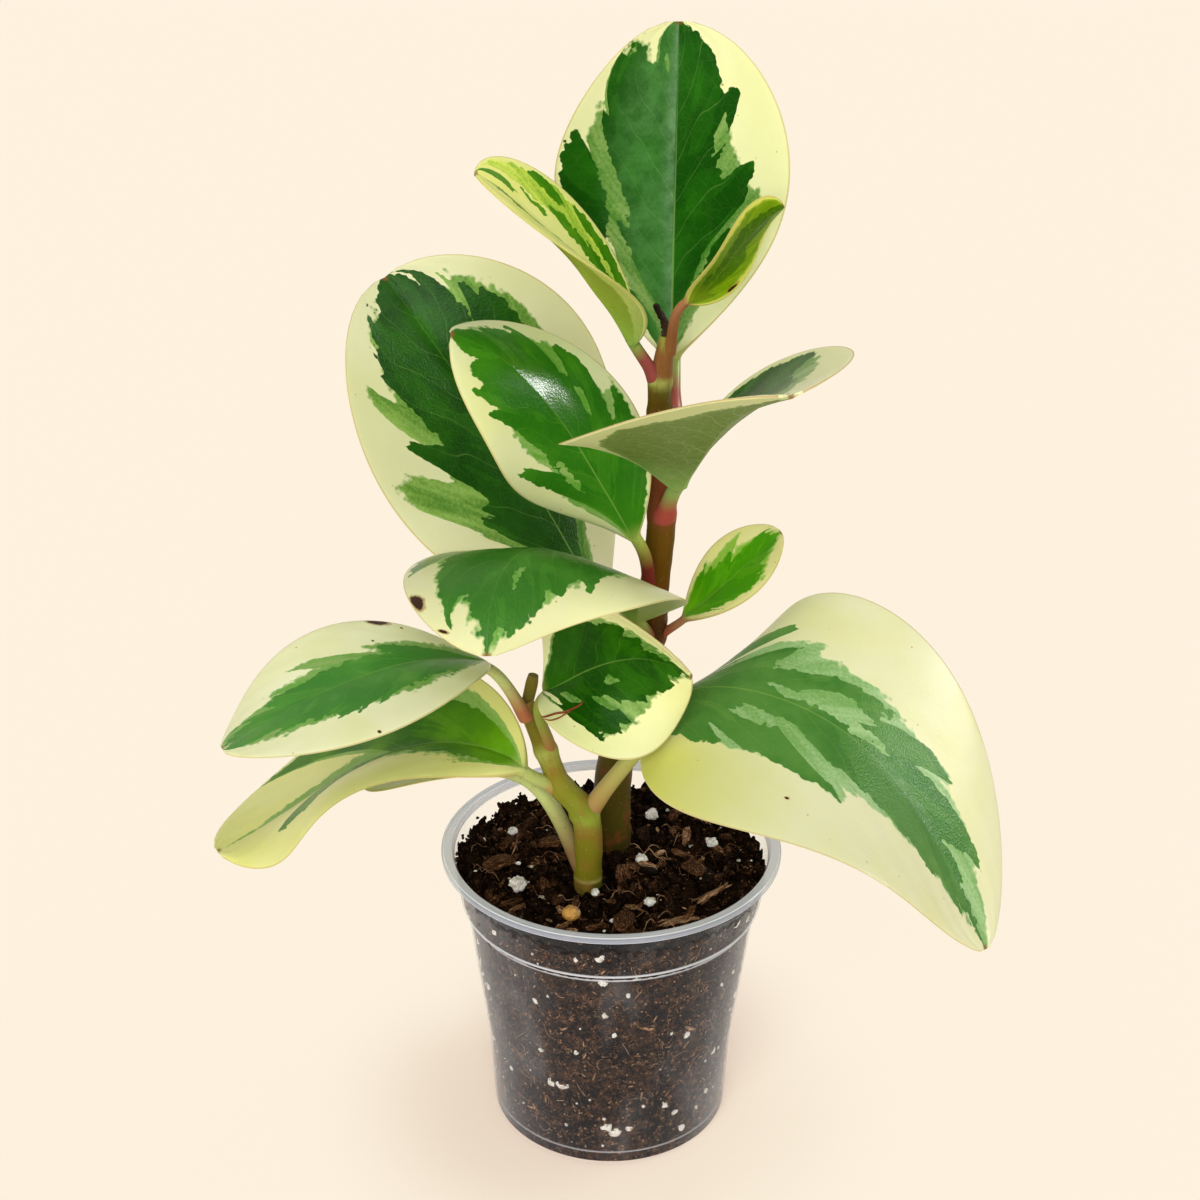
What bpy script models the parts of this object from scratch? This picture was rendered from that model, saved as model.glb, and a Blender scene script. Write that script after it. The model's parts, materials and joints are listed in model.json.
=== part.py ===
"""A variegated baby rubber plant, two stems and thirteen leaves, in a clear nursery pot.

The origin is the centre of the pot's underside, +Z is up and -Y is the front.
Lengths are written in millimetres and angles in degrees. Meshes are made in metres.
"""
import math
from dataclasses import dataclass
from random import Random

import bmesh
import bpy
from mathutils import Vector, noise
from mathutils.bvhtree import BVHTree

MM = 0.001
GAP = 0.3                   # air kept between a piece and what holds it

# ---- driving dimensions of the pot and the soil ---------------------------------------
RIM_RADIUS = 45.0
POT_HEIGHT = 81.2
WALL = 0.8
LIP_THICKNESS = 1.7
LIP_INNER_RADIUS = 42.2
POT_SIDES = 40                # shared by the soil, so that their flats lie side by side
WALL_OUTLINE = (            # radius and height of the wall's outer face, foot to lip
    (31.5, 0.0), (32.1, 1.4), (33.4, 24.0), (37.2, 52.6), (37.7, 57.0),
    (38.2, 60.5), (38.9, 65.2), (40.0, 66.0), (42.4, 79.5),
)
CENTRE_DISC_RADIUS = 14.0   # the flat disc that the pot stands on, with the heel
RAISED_FLOOR = (15.5, 27.5)
RAISED_FLOOR_HEIGHT = 2.5
HEEL_RADIUS = 29.0
DRAIN_COUNT = 5
DRAIN_RADIUS = 3.5
DRAIN_CIRCLE = 21.5

SOIL_FLOOR = RAISED_FLOOR_HEIGHT + WALL + GAP
SOIL_EDGE_HEIGHT = 74.5
SOIL_CROWN = 2.2            # how much higher the soil lies at the middle
SOIL_LUMP = 1.3
SOIL_HOLLOW = 2.6           # the dip at the back left
SOIL_HOLLOW_AT = (-24.0, 20.0)
SOIL_HOLLOW_SPREAD = 15.0

# ---- stems: centre line and radius -----------------------------------------------------
STEM_SIDES = 12
MAIN_STEM_LINE = (
    (0.0, 7.0, 50.0), (0.2, 7.0, 76.0), (1.0, 7.0, 102.0), (9.5, 7.0, 139.0),
    (10.0, 6.0, 148.0), (12.0, 5.0, 173.5), (11.0, 3.0, 201.0), (11.0, 2.0, 209.0),
    (12.5, 2.0, 220.5),
)
MAIN_STEM_RADII = (5.2, 5.1, 4.8, 4.1, 3.8, 3.5, 3.4, 3.3, 2.0)
MAIN_STEM_NODES = (129.0, 139.5, 147.0, 173.5, 201.0, 209.0)
FRONT_STEM_LINE = (
    (-6.0, -12.0, 50.0), (-6.0, -12.0, 76.0), (-6.3, -12.0, 97.6), (-14.5, -11.0, 105.0),
    (-15.7, -10.5, 115.0), (-22.0, -10.0, 128.5),
)
FRONT_STEM_RADII = (3.7, 3.7, 3.6, 2.9, 2.7, 2.2)
FRONT_STEM_NODES = (97.6, 104.5, 115.0)
WITHERED_BUD_LINE = ((12.5, 2.1, 220.6), (12.0, 2.6, 223.0), (10.8, 2.6, 225.6), (9.4, 2.4, 228.0))
WITHERED_BUD_RADII = (1.5, 1.6, 1.3, 0.5)
FRONT_BUD_LINE = (
    (-21.2, -9.2, 128.6), (-20.6, -8.4, 131.0), (-20.2, -8.1, 133.0), (-19.8, -8.1, 135.0),
)
FRONT_BUD_RADII = (1.5, 1.6, 1.3, 0.6)
BUD_STEPS = 9
NODE_SWELL = 0.5
NODE_SPREAD = 1.8

# ---- leaves ----------------------------------------------------------------------------
BLADE_STATIONS = (0.03, 0.09, 0.18, 0.28, 0.39, 0.50, 0.61, 0.72, 0.82, 0.90, 0.96, 0.99)
ACROSS = (0.0, 0.45, 0.8, 1.0)          # share of the half width, midrib to margin
STALK_STEPS = 5
BLADE_THICKNESS = 1.1
MIDRIB_DEPTH = 0.6


@dataclass(frozen=True)
class Leaf:
    """One leaf: its stalk's foot and end, and its blade at base, middle and tip."""
    name: str
    stem: str
    foot: tuple                 # on the stem, where the stalk starts
    base: tuple                 # where the stalk ends and the blade starts
    length: float
    width: float
    taper: tuple                # how fast the width grows from the base and shrinks to the tip
    heading: tuple              # compass angle of the midrib, 0 along +X
    pitch: tuple                # climb of the midrib
    roll: tuple                 # turn about the midrib, right side down
    fold_left: tuple            # rise of each half at the midrib
    fold_right: tuple
    curl_left: tuple = (0, 0, 0)        # further rise, midrib to margin
    curl_right: tuple = (0, 0, 0)
    stalk_via: tuple = ()
    stalk_radius: float = 2.2


LEAVES = (
    Leaf(
        name="leaf_crown_large", stem="main", foot=(13.5, 5.0, 201.0), base=(14.0, 15.0, 210.5),
        length=81.5, width=58.5, taper=(0.82, 0.53),
        heading=(89, 92, 92), pitch=(66, 96, 83), roll=(-14, -6, 0),
        fold_left=(-1, 13, 26), fold_right=(10, 16, 25),
        curl_left=(-33, -3, 22), curl_right=(16, 13, 15), stalk_radius=2.6,
    ),
    Leaf(
        name="leaf_crown_left", stem="main", foot=(10.0, 2.0, 209.5), base=(4.5, -1.0, 219.5),
        length=59.5, width=33.5, taper=(0.65, 0.53),
        heading=(205, 206, 201), pitch=(59, 49, 35), roll=(-7, -17, -20),
        fold_left=(37, 19, 12), fold_right=(35, 20, 13),
        curl_left=(17, -5, -4), curl_right=(23, 12, 5), stalk_radius=1.9,
    ),
    Leaf(
        name="leaf_crown_right", stem="main", foot=(13.0, 1.0, 216.5), base=(16.5, -4.0, 230.5),
        length=32.5, width=18.0, taper=(0.76, 0.5),
        heading=(-13, -6, -3), pitch=(37, 55, 26), roll=(-71, -40, -48),
        fold_left=(-16, 1, 20), fold_right=(-11, -5, 20),
        curl_left=(-37, -10, 13), curl_right=(-21, -23, 6), stalk_radius=1.3,
    ),
    Leaf(
        name="leaf_back_left", stem="main", foot=(8.0, 7.0, 129.0), base=(-3.0, 19.0, 140.0),
        length=103.5, width=70.5, taper=(0.71, 0.55),
        heading=(173, 167, 146), pitch=(65, 56, 44), roll=(-39, -43, -37),
        fold_left=(-3, 5, 23), fold_right=(-9, 5, 23),
        curl_left=(-11, -4, 14), curl_right=(-18, -5, 15), stalk_radius=2.4,
    ),
    Leaf(
        name="leaf_mid_left", stem="main", foot=(9.5, 4.5, 147.5), base=(5.5, -4.5, 171.0),
        length=72.5, width=41.0, taper=(0.76, 0.52),
        heading=(179, 198, 194), pitch=(56, 57, 22), roll=(-104, -62, -41),
        fold_left=(-6, 3, -8), fold_right=(15, 2, -18),
        curl_left=(-46, -20, -15), curl_right=(-1, -18, -52), stalk_radius=1.8,
    ),
    Leaf(
        name="leaf_right_cupped", stem="main", foot=(12.5, 3.5, 173.5), base=(15.5, -7.0, 186.0),
        length=77.5, width=70.5, taper=(0.66, 0.55),
        heading=(-74, -76, -48), pitch=(36, 37, 22), roll=(17, 10, -6),
        fold_left=(42, 18, 7), fold_right=(39, 13, 9),
        curl_left=(21, 9, 6), curl_right=(28, -2, -2), stalk_radius=2.3,
    ),
    Leaf(
        name="leaf_center_arching", stem="main", foot=(9.0, 4.5, 140.0), base=(5.5, -2.0, 148.0),
        length=86.5, width=66.0, taper=(0.56, 0.64),
        heading=(220, 237, 270), pitch=(47, 25, -73), roll=(7, 2, -14),
        fold_left=(19, -2, 2), fold_right=(13, -11, -2),
        curl_left=(2, -17, -13), curl_right=(20, -6, -33), stalk_radius=2.0,
    ),
    Leaf(
        name="leaf_low_left", stem="front", foot=(-21.6, -11.2, 124.5), base=(-31.0, -16.0, 141.0),
        length=74.0, width=46.0, taper=(0.77, 0.52),
        heading=(221, 215, 206), pitch=(34, -4, -23), roll=(-2, -5, 11),
        fold_left=(12, 4, 4), fold_right=(11, 7, 1),
        curl_left=(-2, -11, -8), curl_right=(0, -6, -16), stalk_radius=1.9,
    ),
    Leaf(
        name="leaf_low_wavy", stem="front", foot=(-13.5, -11.0, 103.5), base=(-22.0, -14.0, 110.5),
        length=91.0, width=60.5, taper=(0.79, 0.57),
        heading=(158, 178, 212), pitch=(34, -30, -11), roll=(-15, 18, 10),
        fold_left=(3, 9, 5), fold_right=(40, 22, 3),
        curl_left=(1, -31, -35), curl_right=(31, 15, -7), stalk_radius=2.0,
    ),
    Leaf(
        name="leaf_low_right", stem="front", foot=(-6.3, -12.0, 96.5), base=(12.5, -12.5, 126.0),
        length=120.0, width=84.0, taper=(0.45, 0.64),
        heading=(-52, -16, -59), pitch=(63, -37, -52), roll=(2, 9, -17),
        fold_left=(-9, 11, 5), fold_right=(-20, -1, 11),
        curl_left=(-26, 2, -27), curl_right=(-18, 0, 5), stalk_radius=2.5,
    ),
    Leaf(
        name="leaf_low_center", stem="front", foot=(-15.7, -10.5, 114.5), base=(-16.0, -22.5, 137.0),
        length=46.5, width=47.5, taper=(0.57, 0.53),
        heading=(-24, -32, -44), pitch=(43, 26, -15), roll=(32, 84, 111),
        fold_left=(16, 20, 12), fold_right=(25, 11, 4),
        curl_left=(-6, 14, 14), curl_right=(21, -7, -20), stalk_radius=1.7,
    ),
    Leaf(
        name="leaf_small_right", stem="main", foot=(11.5, 6.0, 138.5), base=(18.0, 4.0, 145.0),
        length=33.5, width=22.0, taper=(0.75, 0.52),
        heading=(2, 7, 5), pitch=(43, 43, 46), roll=(18, 23, 15),
        fold_left=(12, 13, 7), fold_right=(13, 11, 8),
        curl_left=(0, 1, -7), curl_right=(0, -2, -4), stalk_radius=1.3,
    ),
    Leaf(
        name="leaf_low_hidden", stem="front", foot=(-7.0, -11.5, 80.0), base=(-24.0, -6.0, 105.0),
        length=44.0, width=28.0, taper=(0.75, 0.53),
        heading=(165, 165, 170), pitch=(15, -15, -20), roll=(0, 0, 0),
        fold_left=(15, 10, 5), fold_right=(15, 10, 5), stalk_radius=2.6,
    ),
)

# ---- what lies on the soil: name, place, size, turn -------------------------------------
PERLITE = (
    ("perlite_left", (-24, -15), (4.6, 3.8, 3.4), 20),
    ("perlite_back_right", (11, 20), (3.8, 3.2, 2.8), 75),
    ("perlite_right", (27, 7), (3.2, 2.8, 2.6), 140),
    ("perlite_centre", (8, -3), (3.0, 2.6, 2.2), 50),
    ("perlite_front_right", (10, -22), (2.8, 2.2, 2.0), 10),
    ("perlite_front", (-4, -19), (2.4, 2.0, 1.8), 100),
    ("perlite_back_left", (-27, 16), (2.6, 2.2, 2.0), 60),
)
BARK = (
    ("bark_chip_left", (-30, -3), (9.0, 5.5, 2.6), 35),
    ("bark_chip_back", (-12, 29), (10.0, 6.0, 3.0), 160),
    ("bark_chip_front", (3, -31), (8.0, 5.0, 2.6), 80),
    ("bark_chip_right", (22, -6), (8.5, 5.0, 2.4), 120),
    ("bark_chip_middle", (-15, 7), (8.0, 5.0, 2.6), 15),
)
SLIVERS = (
    ("wood_sliver_right", (26, -18), (14.0, 2.6, 1.6), 50),
    ("wood_sliver_front", (17, -30), (11.0, 2.0, 1.4), 20),
    ("wood_sliver_back", (23, 21), (12.0, 2.2, 1.4), 130),
)
AMBER = ("amber_granule", (-10, -29), (4.6, 4.0, 3.8), 0)

# ---- materials: colour, roughness, see-through share -------------------------------------
FINISHES = {
    "clear_plastic": ((0.82, 0.84, 0.85), 0.18, 0.75),
    "soil": ((0.045, 0.030, 0.022), 0.95, 0.0),
    "stem_olive": ((0.22, 0.20, 0.05), 0.45, 0.0),
    "stem_green": ((0.20, 0.32, 0.08), 0.40, 0.0),
    "leaf": ((0.28, 0.42, 0.13), 0.30, 0.0),
    "dry_bud": ((0.05, 0.03, 0.02), 0.80, 0.0),
    "perlite": ((0.80, 0.78, 0.72), 0.90, 0.0),
    "bark": ((0.16, 0.09, 0.05), 0.85, 0.0),
    "wood": ((0.38, 0.22, 0.11), 0.75, 0.0),
    "amber": ((0.55, 0.36, 0.14), 0.35, 0.0),
}


# ---- helpers -----------------------------------------------------------------------------
def clear_scene():
    """Remove every object that the new file came with."""
    for item in list(bpy.data.objects):
        bpy.data.objects.remove(item, do_unlink=True)


def make_materials():
    """One Principled material for each finish."""
    materials = {}
    for name, (colour, roughness, clearness) in FINISHES.items():
        material = bpy.data.materials.new(name)
        material.use_nodes = True
        shader = material.node_tree.nodes["Principled BSDF"]
        shader.inputs["Base Color"].default_value = (*colour, 1.0)
        shader.inputs["Roughness"].default_value = roughness
        shader.inputs["Metallic"].default_value = 0.0
        shader.inputs["Transmission Weight"].default_value = clearness
        material.diffuse_color = (*colour, 1.0)
        materials[name] = material
    return materials


def add_object(name, bm, material=None, sharp_angle=50.0):
    """Turn a bmesh built in millimetres into a smooth-shaded object in metres."""
    bmesh.ops.scale(bm, vec=(MM, MM, MM), verts=bm.verts[:])
    bmesh.ops.recalc_face_normals(bm, faces=bm.faces[:])
    mesh = bpy.data.meshes.new(name)
    bm.to_mesh(mesh)
    bm.free()
    mesh.shade_smooth()
    mesh.set_sharp_from_angle(angle=math.radians(sharp_angle))
    item = bpy.data.objects.new(name, mesh)
    bpy.context.collection.objects.link(item)
    if material:
        mesh.materials.append(material)
    return item


def make_cutter(item):
    """Keep an object only as a cutter for Boolean modifiers."""
    item.hide_render = True
    item.display_type = "WIRE"
    return item


def cut(item, cutter):
    """Cut one object out of another."""
    modifier = item.modifiers.new("cut_" + cutter.name, "BOOLEAN")
    modifier.operation = "DIFFERENCE"
    modifier.solver = "EXACT"
    modifier.object = cutter


def loft(rings):
    """A closed body skinned over rings of points, flat at both ends."""
    bm = bmesh.new()
    circle = bmesh.ops.create_circle(bm, cap_ends=True, segments=len(rings[0]), radius=1.0)
    face = circle["verts"][0].link_faces[0]
    for loop, point in zip(face.loops, rings[0]):
        loop.vert.co = point
    start = face
    for ring in rings[1:]:
        extruded = bmesh.ops.extrude_face_region(bm, geom=[face])
        if face is not start:
            bmesh.ops.delete(bm, geom=[face], context="FACES_ONLY")
        face = next(part for part in extruded["geom"] if isinstance(part, bmesh.types.BMFace))
        for loop, point in zip(face.loops, ring):
            loop.vert.co = point
    return bm


def through(points, share):
    """A point on the smooth line through the given points, share 0 to 1 along it."""
    spans = len(points) - 1
    span = min(int(share * spans), spans - 1)
    t = share * spans - span
    before = points[max(span - 1, 0)]
    start, end = points[span], points[span + 1]
    after = points[min(span + 2, spans)]
    return 0.5 * (
        2.0 * start + (end - before) * t
        + (2.0 * before - 5.0 * start + 4.0 * end - after) * t ** 2
        + (3.0 * start - before - 3.0 * end + after) * t ** 3
    )


def ring_about(centre, along, radius, sides):
    """A circle of points about a line's direction, started at the line's left."""
    side = along.cross(Vector((0.0, 1.0, 0.0))).normalized()
    up = side.cross(along).normalized()
    ring = []
    for index in range(sides):
        angle = math.tau * index / sides
        ring.append(centre + side * math.cos(angle) * radius + up * math.sin(angle) * radius)
    return ring


# ---- stems -------------------------------------------------------------------------------
def stem_body(line, radii, nodes, steps, inflate=0.0):
    """A bent round stem with a slight swelling at each leaf node."""
    points = [Vector(point) for point in line]
    widths = [Vector((radius, 0.0, 0.0)) for radius in radii]
    rings = []
    for step in range(steps + 1):
        share = step / steps
        centre = through(points, share)
        ahead = through(points, min(share + 0.01, 1.0)) - through(points, max(share - 0.01, 0.0))
        swell = sum(
            NODE_SWELL * math.exp(-((centre.z - height) / NODE_SPREAD) ** 2) for height in nodes
        )
        along = ahead.normalized()
        if inflate and step in (0, steps):
            centre = centre + along * (inflate if step else -inflate)
        radius = through(widths, share).x + swell + inflate
        rings.append(ring_about(centre, along, radius, STEM_SIDES))
    return loft(rings)


def build_stems(materials):
    """Both stems, and for each a slightly larger copy that cuts room for it."""
    specs = (
        ("main", MAIN_STEM_LINE, MAIN_STEM_RADII, MAIN_STEM_NODES, 32, "stem_olive"),
        ("front", FRONT_STEM_LINE, FRONT_STEM_RADII, FRONT_STEM_NODES, 20, "stem_green"),
    )
    cutters = {}
    for key, line, radii, nodes, steps, finish in specs:
        add_object(key + "_stem", stem_body(line, radii, nodes, steps), materials[finish])
        room = add_object(key + "_room", stem_body(line, radii, nodes, steps, GAP))
        cutters[key] = make_cutter(room)
    return cutters


def build_buds(materials, cutters):
    """The dried bud on the main stem's tip and the live bud on the front stem's."""
    specs = (
        ("withered_bud", "main", WITHERED_BUD_LINE, WITHERED_BUD_RADII, "dry_bud"),
        ("front_bud", "front", FRONT_BUD_LINE, FRONT_BUD_RADII, "stem_green"),
    )
    for name, stem, line, radii, finish in specs:
        bud = add_object(name, stem_body(line, radii, (), BUD_STEPS), materials[finish])
        cut(bud, cutters[stem])


# ---- leaves ------------------------------------------------------------------------------
def at_station(values, share):
    """A value given at base, middle and tip, read on the curve through all three."""
    base, middle, tip = values
    return (
        base * (1.0 - share) * (1.0 - 2.0 * share)
        + middle * 4.0 * share * (1.0 - share)
        + tip * share * (2.0 * share - 1.0)
    )


def blade_axes(leaf, share):
    """Directions along the midrib, to its right, and out of its upper face."""
    heading = math.radians(at_station(leaf.heading, share))
    pitch = math.radians(at_station(leaf.pitch, share))
    roll = math.radians(at_station(leaf.roll, share))
    along = Vector((
        math.cos(pitch) * math.cos(heading), math.cos(pitch) * math.sin(heading), math.sin(pitch),
    ))
    level_right = Vector((math.sin(heading), -math.cos(heading), 0.0))
    level_face = level_right.cross(along)
    right = level_right * math.cos(roll) - level_face * math.sin(roll)
    face = level_face * math.cos(roll) + level_right * math.sin(roll)
    return along, right, face


def midrib_point(leaf, share, steps=24):
    """The midrib's point at a share of its length, walked from the base."""
    point = Vector(leaf.base)
    stride = leaf.length * share / steps
    for step in range(steps):
        along, _, _ = blade_axes(leaf, share * (step + 0.5) / steps)
        point = point + along * stride
    return point


def half_width(leaf, share):
    """Half the blade's width, with the stalk's own width kept at its base."""
    rise, fall = leaf.taper
    widest = rise / (rise + fall)
    peak = widest ** rise * (1.0 - widest) ** fall
    blade = 0.5 * leaf.width * share ** rise * (1.0 - share) ** fall / peak
    stalk = 0.8 * leaf.stalk_radius * (1.0 - share)
    return (blade ** 3 + stalk ** 3) ** (1.0 / 3.0)


def across_blade(leaf, share, side, out):
    """Sideways and upward run from the midrib to a share of one half, and the slope there."""
    if side > 0:
        fold, curl = leaf.fold_right, leaf.curl_right
    else:
        fold, curl = leaf.fold_left, leaf.curl_left
    start = math.radians(at_station(fold, share))
    bend = math.radians(at_station(curl, share))
    steps = 8
    run = rise = 0.0
    for step in range(steps):
        slope = start + bend * out * (step + 0.5) / steps
        run += math.cos(slope) * out / steps
        rise += math.sin(slope) * out / steps
    width = half_width(leaf, share)
    return run * width, rise * width, start + bend * out


def blade_ring(leaf, share):
    """The blade's closed section at one station: upper face left to right, then under."""
    _, right, face = blade_axes(leaf, share)
    centre = midrib_point(leaf, share)
    fade = math.exp(-share * 14.0)
    thickness = 0.5 * BLADE_THICKNESS * (1.0 - 0.4 * share) + 0.7 * leaf.stalk_radius * fade
    upper, under = [], []
    for side in (-1, 1):
        for out in ACROSS:
            run, rise, slope = across_blade(leaf, share, side, out)
            point = centre + right * run * side + face * rise
            normal = face * math.cos(slope) - right * math.sin(slope) * side
            depth = thickness * math.sqrt(max(1.0 - out ** 2, 0.0))
            rib = MIDRIB_DEPTH * (1.0 - share) * (1.0 - fade) if out == 0.0 else 0.0
            upper.append((side * out, point + normal * depth))
            if out < 1.0:
                under.append((side * out, point - normal * (depth + rib)))
    return order_ring(upper, under)


def order_ring(upper, under):
    """Join the two faces' points into one loop, without the midrib's repeats."""
    top = {round(out, 3): point for out, point in upper}
    bottom = {round(out, 3): point for out, point in under}
    loop = [top[key] for key in sorted(top)]
    loop += [bottom[key] for key in sorted(bottom, reverse=True)]
    return loop


def stalk_rings(leaf):
    """Oval sections of the stalk, from inside the stem to the blade's base."""
    along, right, _ = blade_axes(leaf, 0.0)
    base = Vector(leaf.base)
    foot = Vector(leaf.foot)
    reach = (base - foot).length
    leave = (base - foot).normalized() + Vector((0.0, 0.0, 0.25))
    near = foot + leave.normalized() * reach * 0.35
    far = base - along * reach * 0.30
    rings = []
    for step in range(STALK_STEPS):
        t = step / STALK_STEPS
        u = 1.0 - t
        centre = foot * u ** 3 + near * 3 * u * u * t + far * 3 * u * t * t + base * t ** 3
        ahead = (near - foot) * u * u + (far - near) * 2 * u * t + (base - far) * t * t
        ahead = ahead.normalized()
        side = (right - ahead * right.dot(ahead)).normalized()
        face = side.cross(ahead)
        radius = leaf.stalk_radius * (1.0 - 0.15 * t)
        upper, under = [], []
        for way in (-1, 1):
            for out in ACROSS:
                flat = centre + side * radius * out * way
                depth = face * radius * 0.85 * math.sqrt(max(1.0 - out ** 2, 0.0))
                upper.append((way * out, flat + depth))
                if out < 1.0:
                    under.append((way * out, flat - depth))
        rings.append(order_ring(upper, under))
    return rings


def build_leaves(materials, cutters):
    """Every leaf, with its stalk's foot cut to the stem's surface."""
    for leaf in LEAVES:
        rings = stalk_rings(leaf)
        rings += [blade_ring(leaf, share) for share in BLADE_STATIONS]
        item = add_object(leaf.name, loft(rings), materials["leaf"])
        cut(item, cutters[leaf.stem])


# ---- pot ---------------------------------------------------------------------------------
def turned(outline, sides):
    """A closed outline of radius and height turned about the Z axis."""
    bm = bmesh.new()
    verts = [bm.verts.new((radius, 0.0, height)) for radius, height in outline]
    edges = [bm.edges.new(pair) for pair in zip(verts, verts[1:])]
    bmesh.ops.spin(
        bm, geom=verts + edges, cent=(0.0, 0.0, 0.0), axis=(0.0, 0.0, 1.0),
        angle=math.tau, steps=sides, use_merge=True,
    )
    bmesh.ops.remove_doubles(bm, verts=bm.verts[:], dist=0.001)
    return bm


def wall_radius(height):
    """The wall's outer radius at a height."""
    for (low_r, low_z), (high_r, high_z) in zip(WALL_OUTLINE, WALL_OUTLINE[1:]):
        if height <= high_z:
            share = (height - low_z) / (high_z - low_z)
            return low_r + (high_r - low_r) * share
    return WALL_OUTLINE[-1][0]


def pot_outline():
    """The pot's section, from the inside centre up the wall, over the rim and back under."""
    raised_in, raised_out = RAISED_FLOOR
    raised_top = RAISED_FLOOR_HEIGHT + WALL
    inside = [
        (0.0, WALL), (CENTRE_DISC_RADIUS - WALL, WALL), (raised_in - WALL, raised_top),
        (raised_out + WALL, raised_top), (HEEL_RADIUS + WALL, WALL), (31.3 - 0.5 * WALL, WALL),
    ]
    inside += [(radius - WALL, height) for radius, height in WALL_OUTLINE[1:-1]]
    rim = [
        (LIP_INNER_RADIUS - 0.6, POT_HEIGHT - 1.6), (LIP_INNER_RADIUS, POT_HEIGHT - 0.3),
        (LIP_INNER_RADIUS + 0.5, POT_HEIGHT), (RIM_RADIUS - 0.6, POT_HEIGHT),
        (RIM_RADIUS, POT_HEIGHT - 0.5), (RIM_RADIUS, POT_HEIGHT - LIP_THICKNESS + 0.3),
        (RIM_RADIUS - 0.4, POT_HEIGHT - LIP_THICKNESS),
    ]
    outside = list(reversed(WALL_OUTLINE))
    under = [
        (HEEL_RADIUS, 0.0), (raised_out, RAISED_FLOOR_HEIGHT), (raised_in, RAISED_FLOOR_HEIGHT),
        (CENTRE_DISC_RADIUS, 0.0), (0.0, 0.0),
    ]
    return inside + rim + outside + under


def build_pot(materials):
    """The clear pot, with its ring of drain holes."""
    pot = add_object("clear_pot", turned(pot_outline(), POT_SIDES), materials["clear_plastic"], 30.0)
    for index in range(DRAIN_COUNT):
        angle = math.tau * (index + 0.5) / DRAIN_COUNT
        bm = bmesh.new()
        bmesh.ops.create_cone(
            bm, cap_ends=True, segments=16, radius1=DRAIN_RADIUS, radius2=DRAIN_RADIUS, depth=6.0,
        )
        place = (DRAIN_CIRCLE * math.cos(angle), DRAIN_CIRCLE * math.sin(angle), RAISED_FLOOR_HEIGHT)
        bmesh.ops.translate(bm, vec=place, verts=bm.verts[:])
        cut(pot, make_cutter(add_object(f"drain_{index + 1}", bm)))


# ---- soil and what lies on it --------------------------------------------------------------
def soil_height(x, y):
    """The lumpy height of the soil's surface at a place."""
    reach = math.hypot(x, y) / RIM_RADIUS
    crown = SOIL_CROWN * (1.0 - reach ** 2)
    away = math.hypot(x - SOIL_HOLLOW_AT[0], y - SOIL_HOLLOW_AT[1]) / SOIL_HOLLOW_SPREAD
    hollow = SOIL_HOLLOW * math.exp(-away ** 2)
    lump = SOIL_LUMP * noise.noise(Vector((x / 7.0, y / 7.0, 3.7)))
    return SOIL_EDGE_HEIGHT + crown - hollow + lump


def build_soil(materials, cutters):
    """The soil, filling the pot but for a thin gap, with a pocket for each stem."""
    inner = WALL + GAP
    side = [
        (radius - inner, height) for radius, height in WALL_OUTLINE
        if SOIL_FLOOR < height < SOIL_EDGE_HEIGHT
    ]
    edge = wall_radius(SOIL_EDGE_HEIGHT) - inner
    tops = [(edge * share, SOIL_EDGE_HEIGHT) for share in (1.0, 0.9, 0.78, 0.64, 0.5, 0.36, 0.2, 0.0)]
    floor = [(0.0, SOIL_FLOOR), (wall_radius(SOIL_FLOOR) - inner, SOIL_FLOOR)]
    bm = turned(list(reversed(floor + side + tops)), POT_SIDES)
    for vert in bm.verts:
        if vert.co.z > SOIL_EDGE_HEIGHT - 0.01:
            vert.co.z = soil_height(vert.co.x, vert.co.y)
            room = (wall_radius(vert.co.z) - inner) / max(math.hypot(vert.co.x, vert.co.y), 1.0)
            if room < 1.0:
                vert.co.x *= room
                vert.co.y *= room
    soil = add_object("potting_soil", bm, materials["soil"], 60.0)
    bvh = BVHTree.FromPolygons(
        [vert.co / MM for vert in soil.data.vertices],
        [tuple(polygon.vertices) for polygon in soil.data.polygons],
    )
    for cutter in cutters.values():
        cut(soil, cutter)
    return bvh


def settle(bm, place, soil):
    """Lower a loose piece at a place until it lies a hair above the soil."""
    bmesh.ops.translate(bm, vec=(place[0], place[1], POT_HEIGHT + 20.0), verts=bm.verts[:])
    down = Vector((0.0, 0.0, -1.0))
    drops = [soil.ray_cast(vert.co, down)[3] for vert in bm.verts]
    drop = min(distance for distance in drops if distance is not None) - GAP
    bmesh.ops.translate(bm, vec=(0.0, 0.0, -drop), verts=bm.verts[:])


def rough_lump(size, turn, seed, roughness):
    """A rounded lump of a given length, width and height, knocked about a little."""
    rng = Random(seed)
    bm = bmesh.new()
    bmesh.ops.create_icosphere(bm, subdivisions=1, radius=0.5)
    for vert in bm.verts:
        vert.co *= 1.0 + roughness * rng.uniform(-1.0, 1.0)
    bmesh.ops.subdivide_edges(
        bm, edges=bm.edges[:], cuts=1, use_grid_fill=True, smooth=0.6,
    )
    bmesh.ops.scale(bm, vec=size, verts=bm.verts[:])
    angle = math.radians(turn)
    for vert in bm.verts:
        x, y, z = vert.co
        vert.co = (
            x * math.cos(angle) - y * math.sin(angle), x * math.sin(angle) + y * math.cos(angle), z,
        )
    return bm


def build_loose_pieces(materials, soil):
    """Perlite, bark, slivers and the granule that lie on the soil."""
    groups = ((PERLITE, "perlite", 0.12), (BARK, "bark", 0.16), (SLIVERS, "wood", 0.08), ((AMBER,), "amber", 0.05))
    seed = 10
    for pieces, finish, roughness in groups:
        for name, place, size, turn in pieces:
            seed += 1
            bm = rough_lump(size, turn, seed, roughness)
            settle(bm, place, soil)
            add_object(name, bm, materials[finish])


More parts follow.
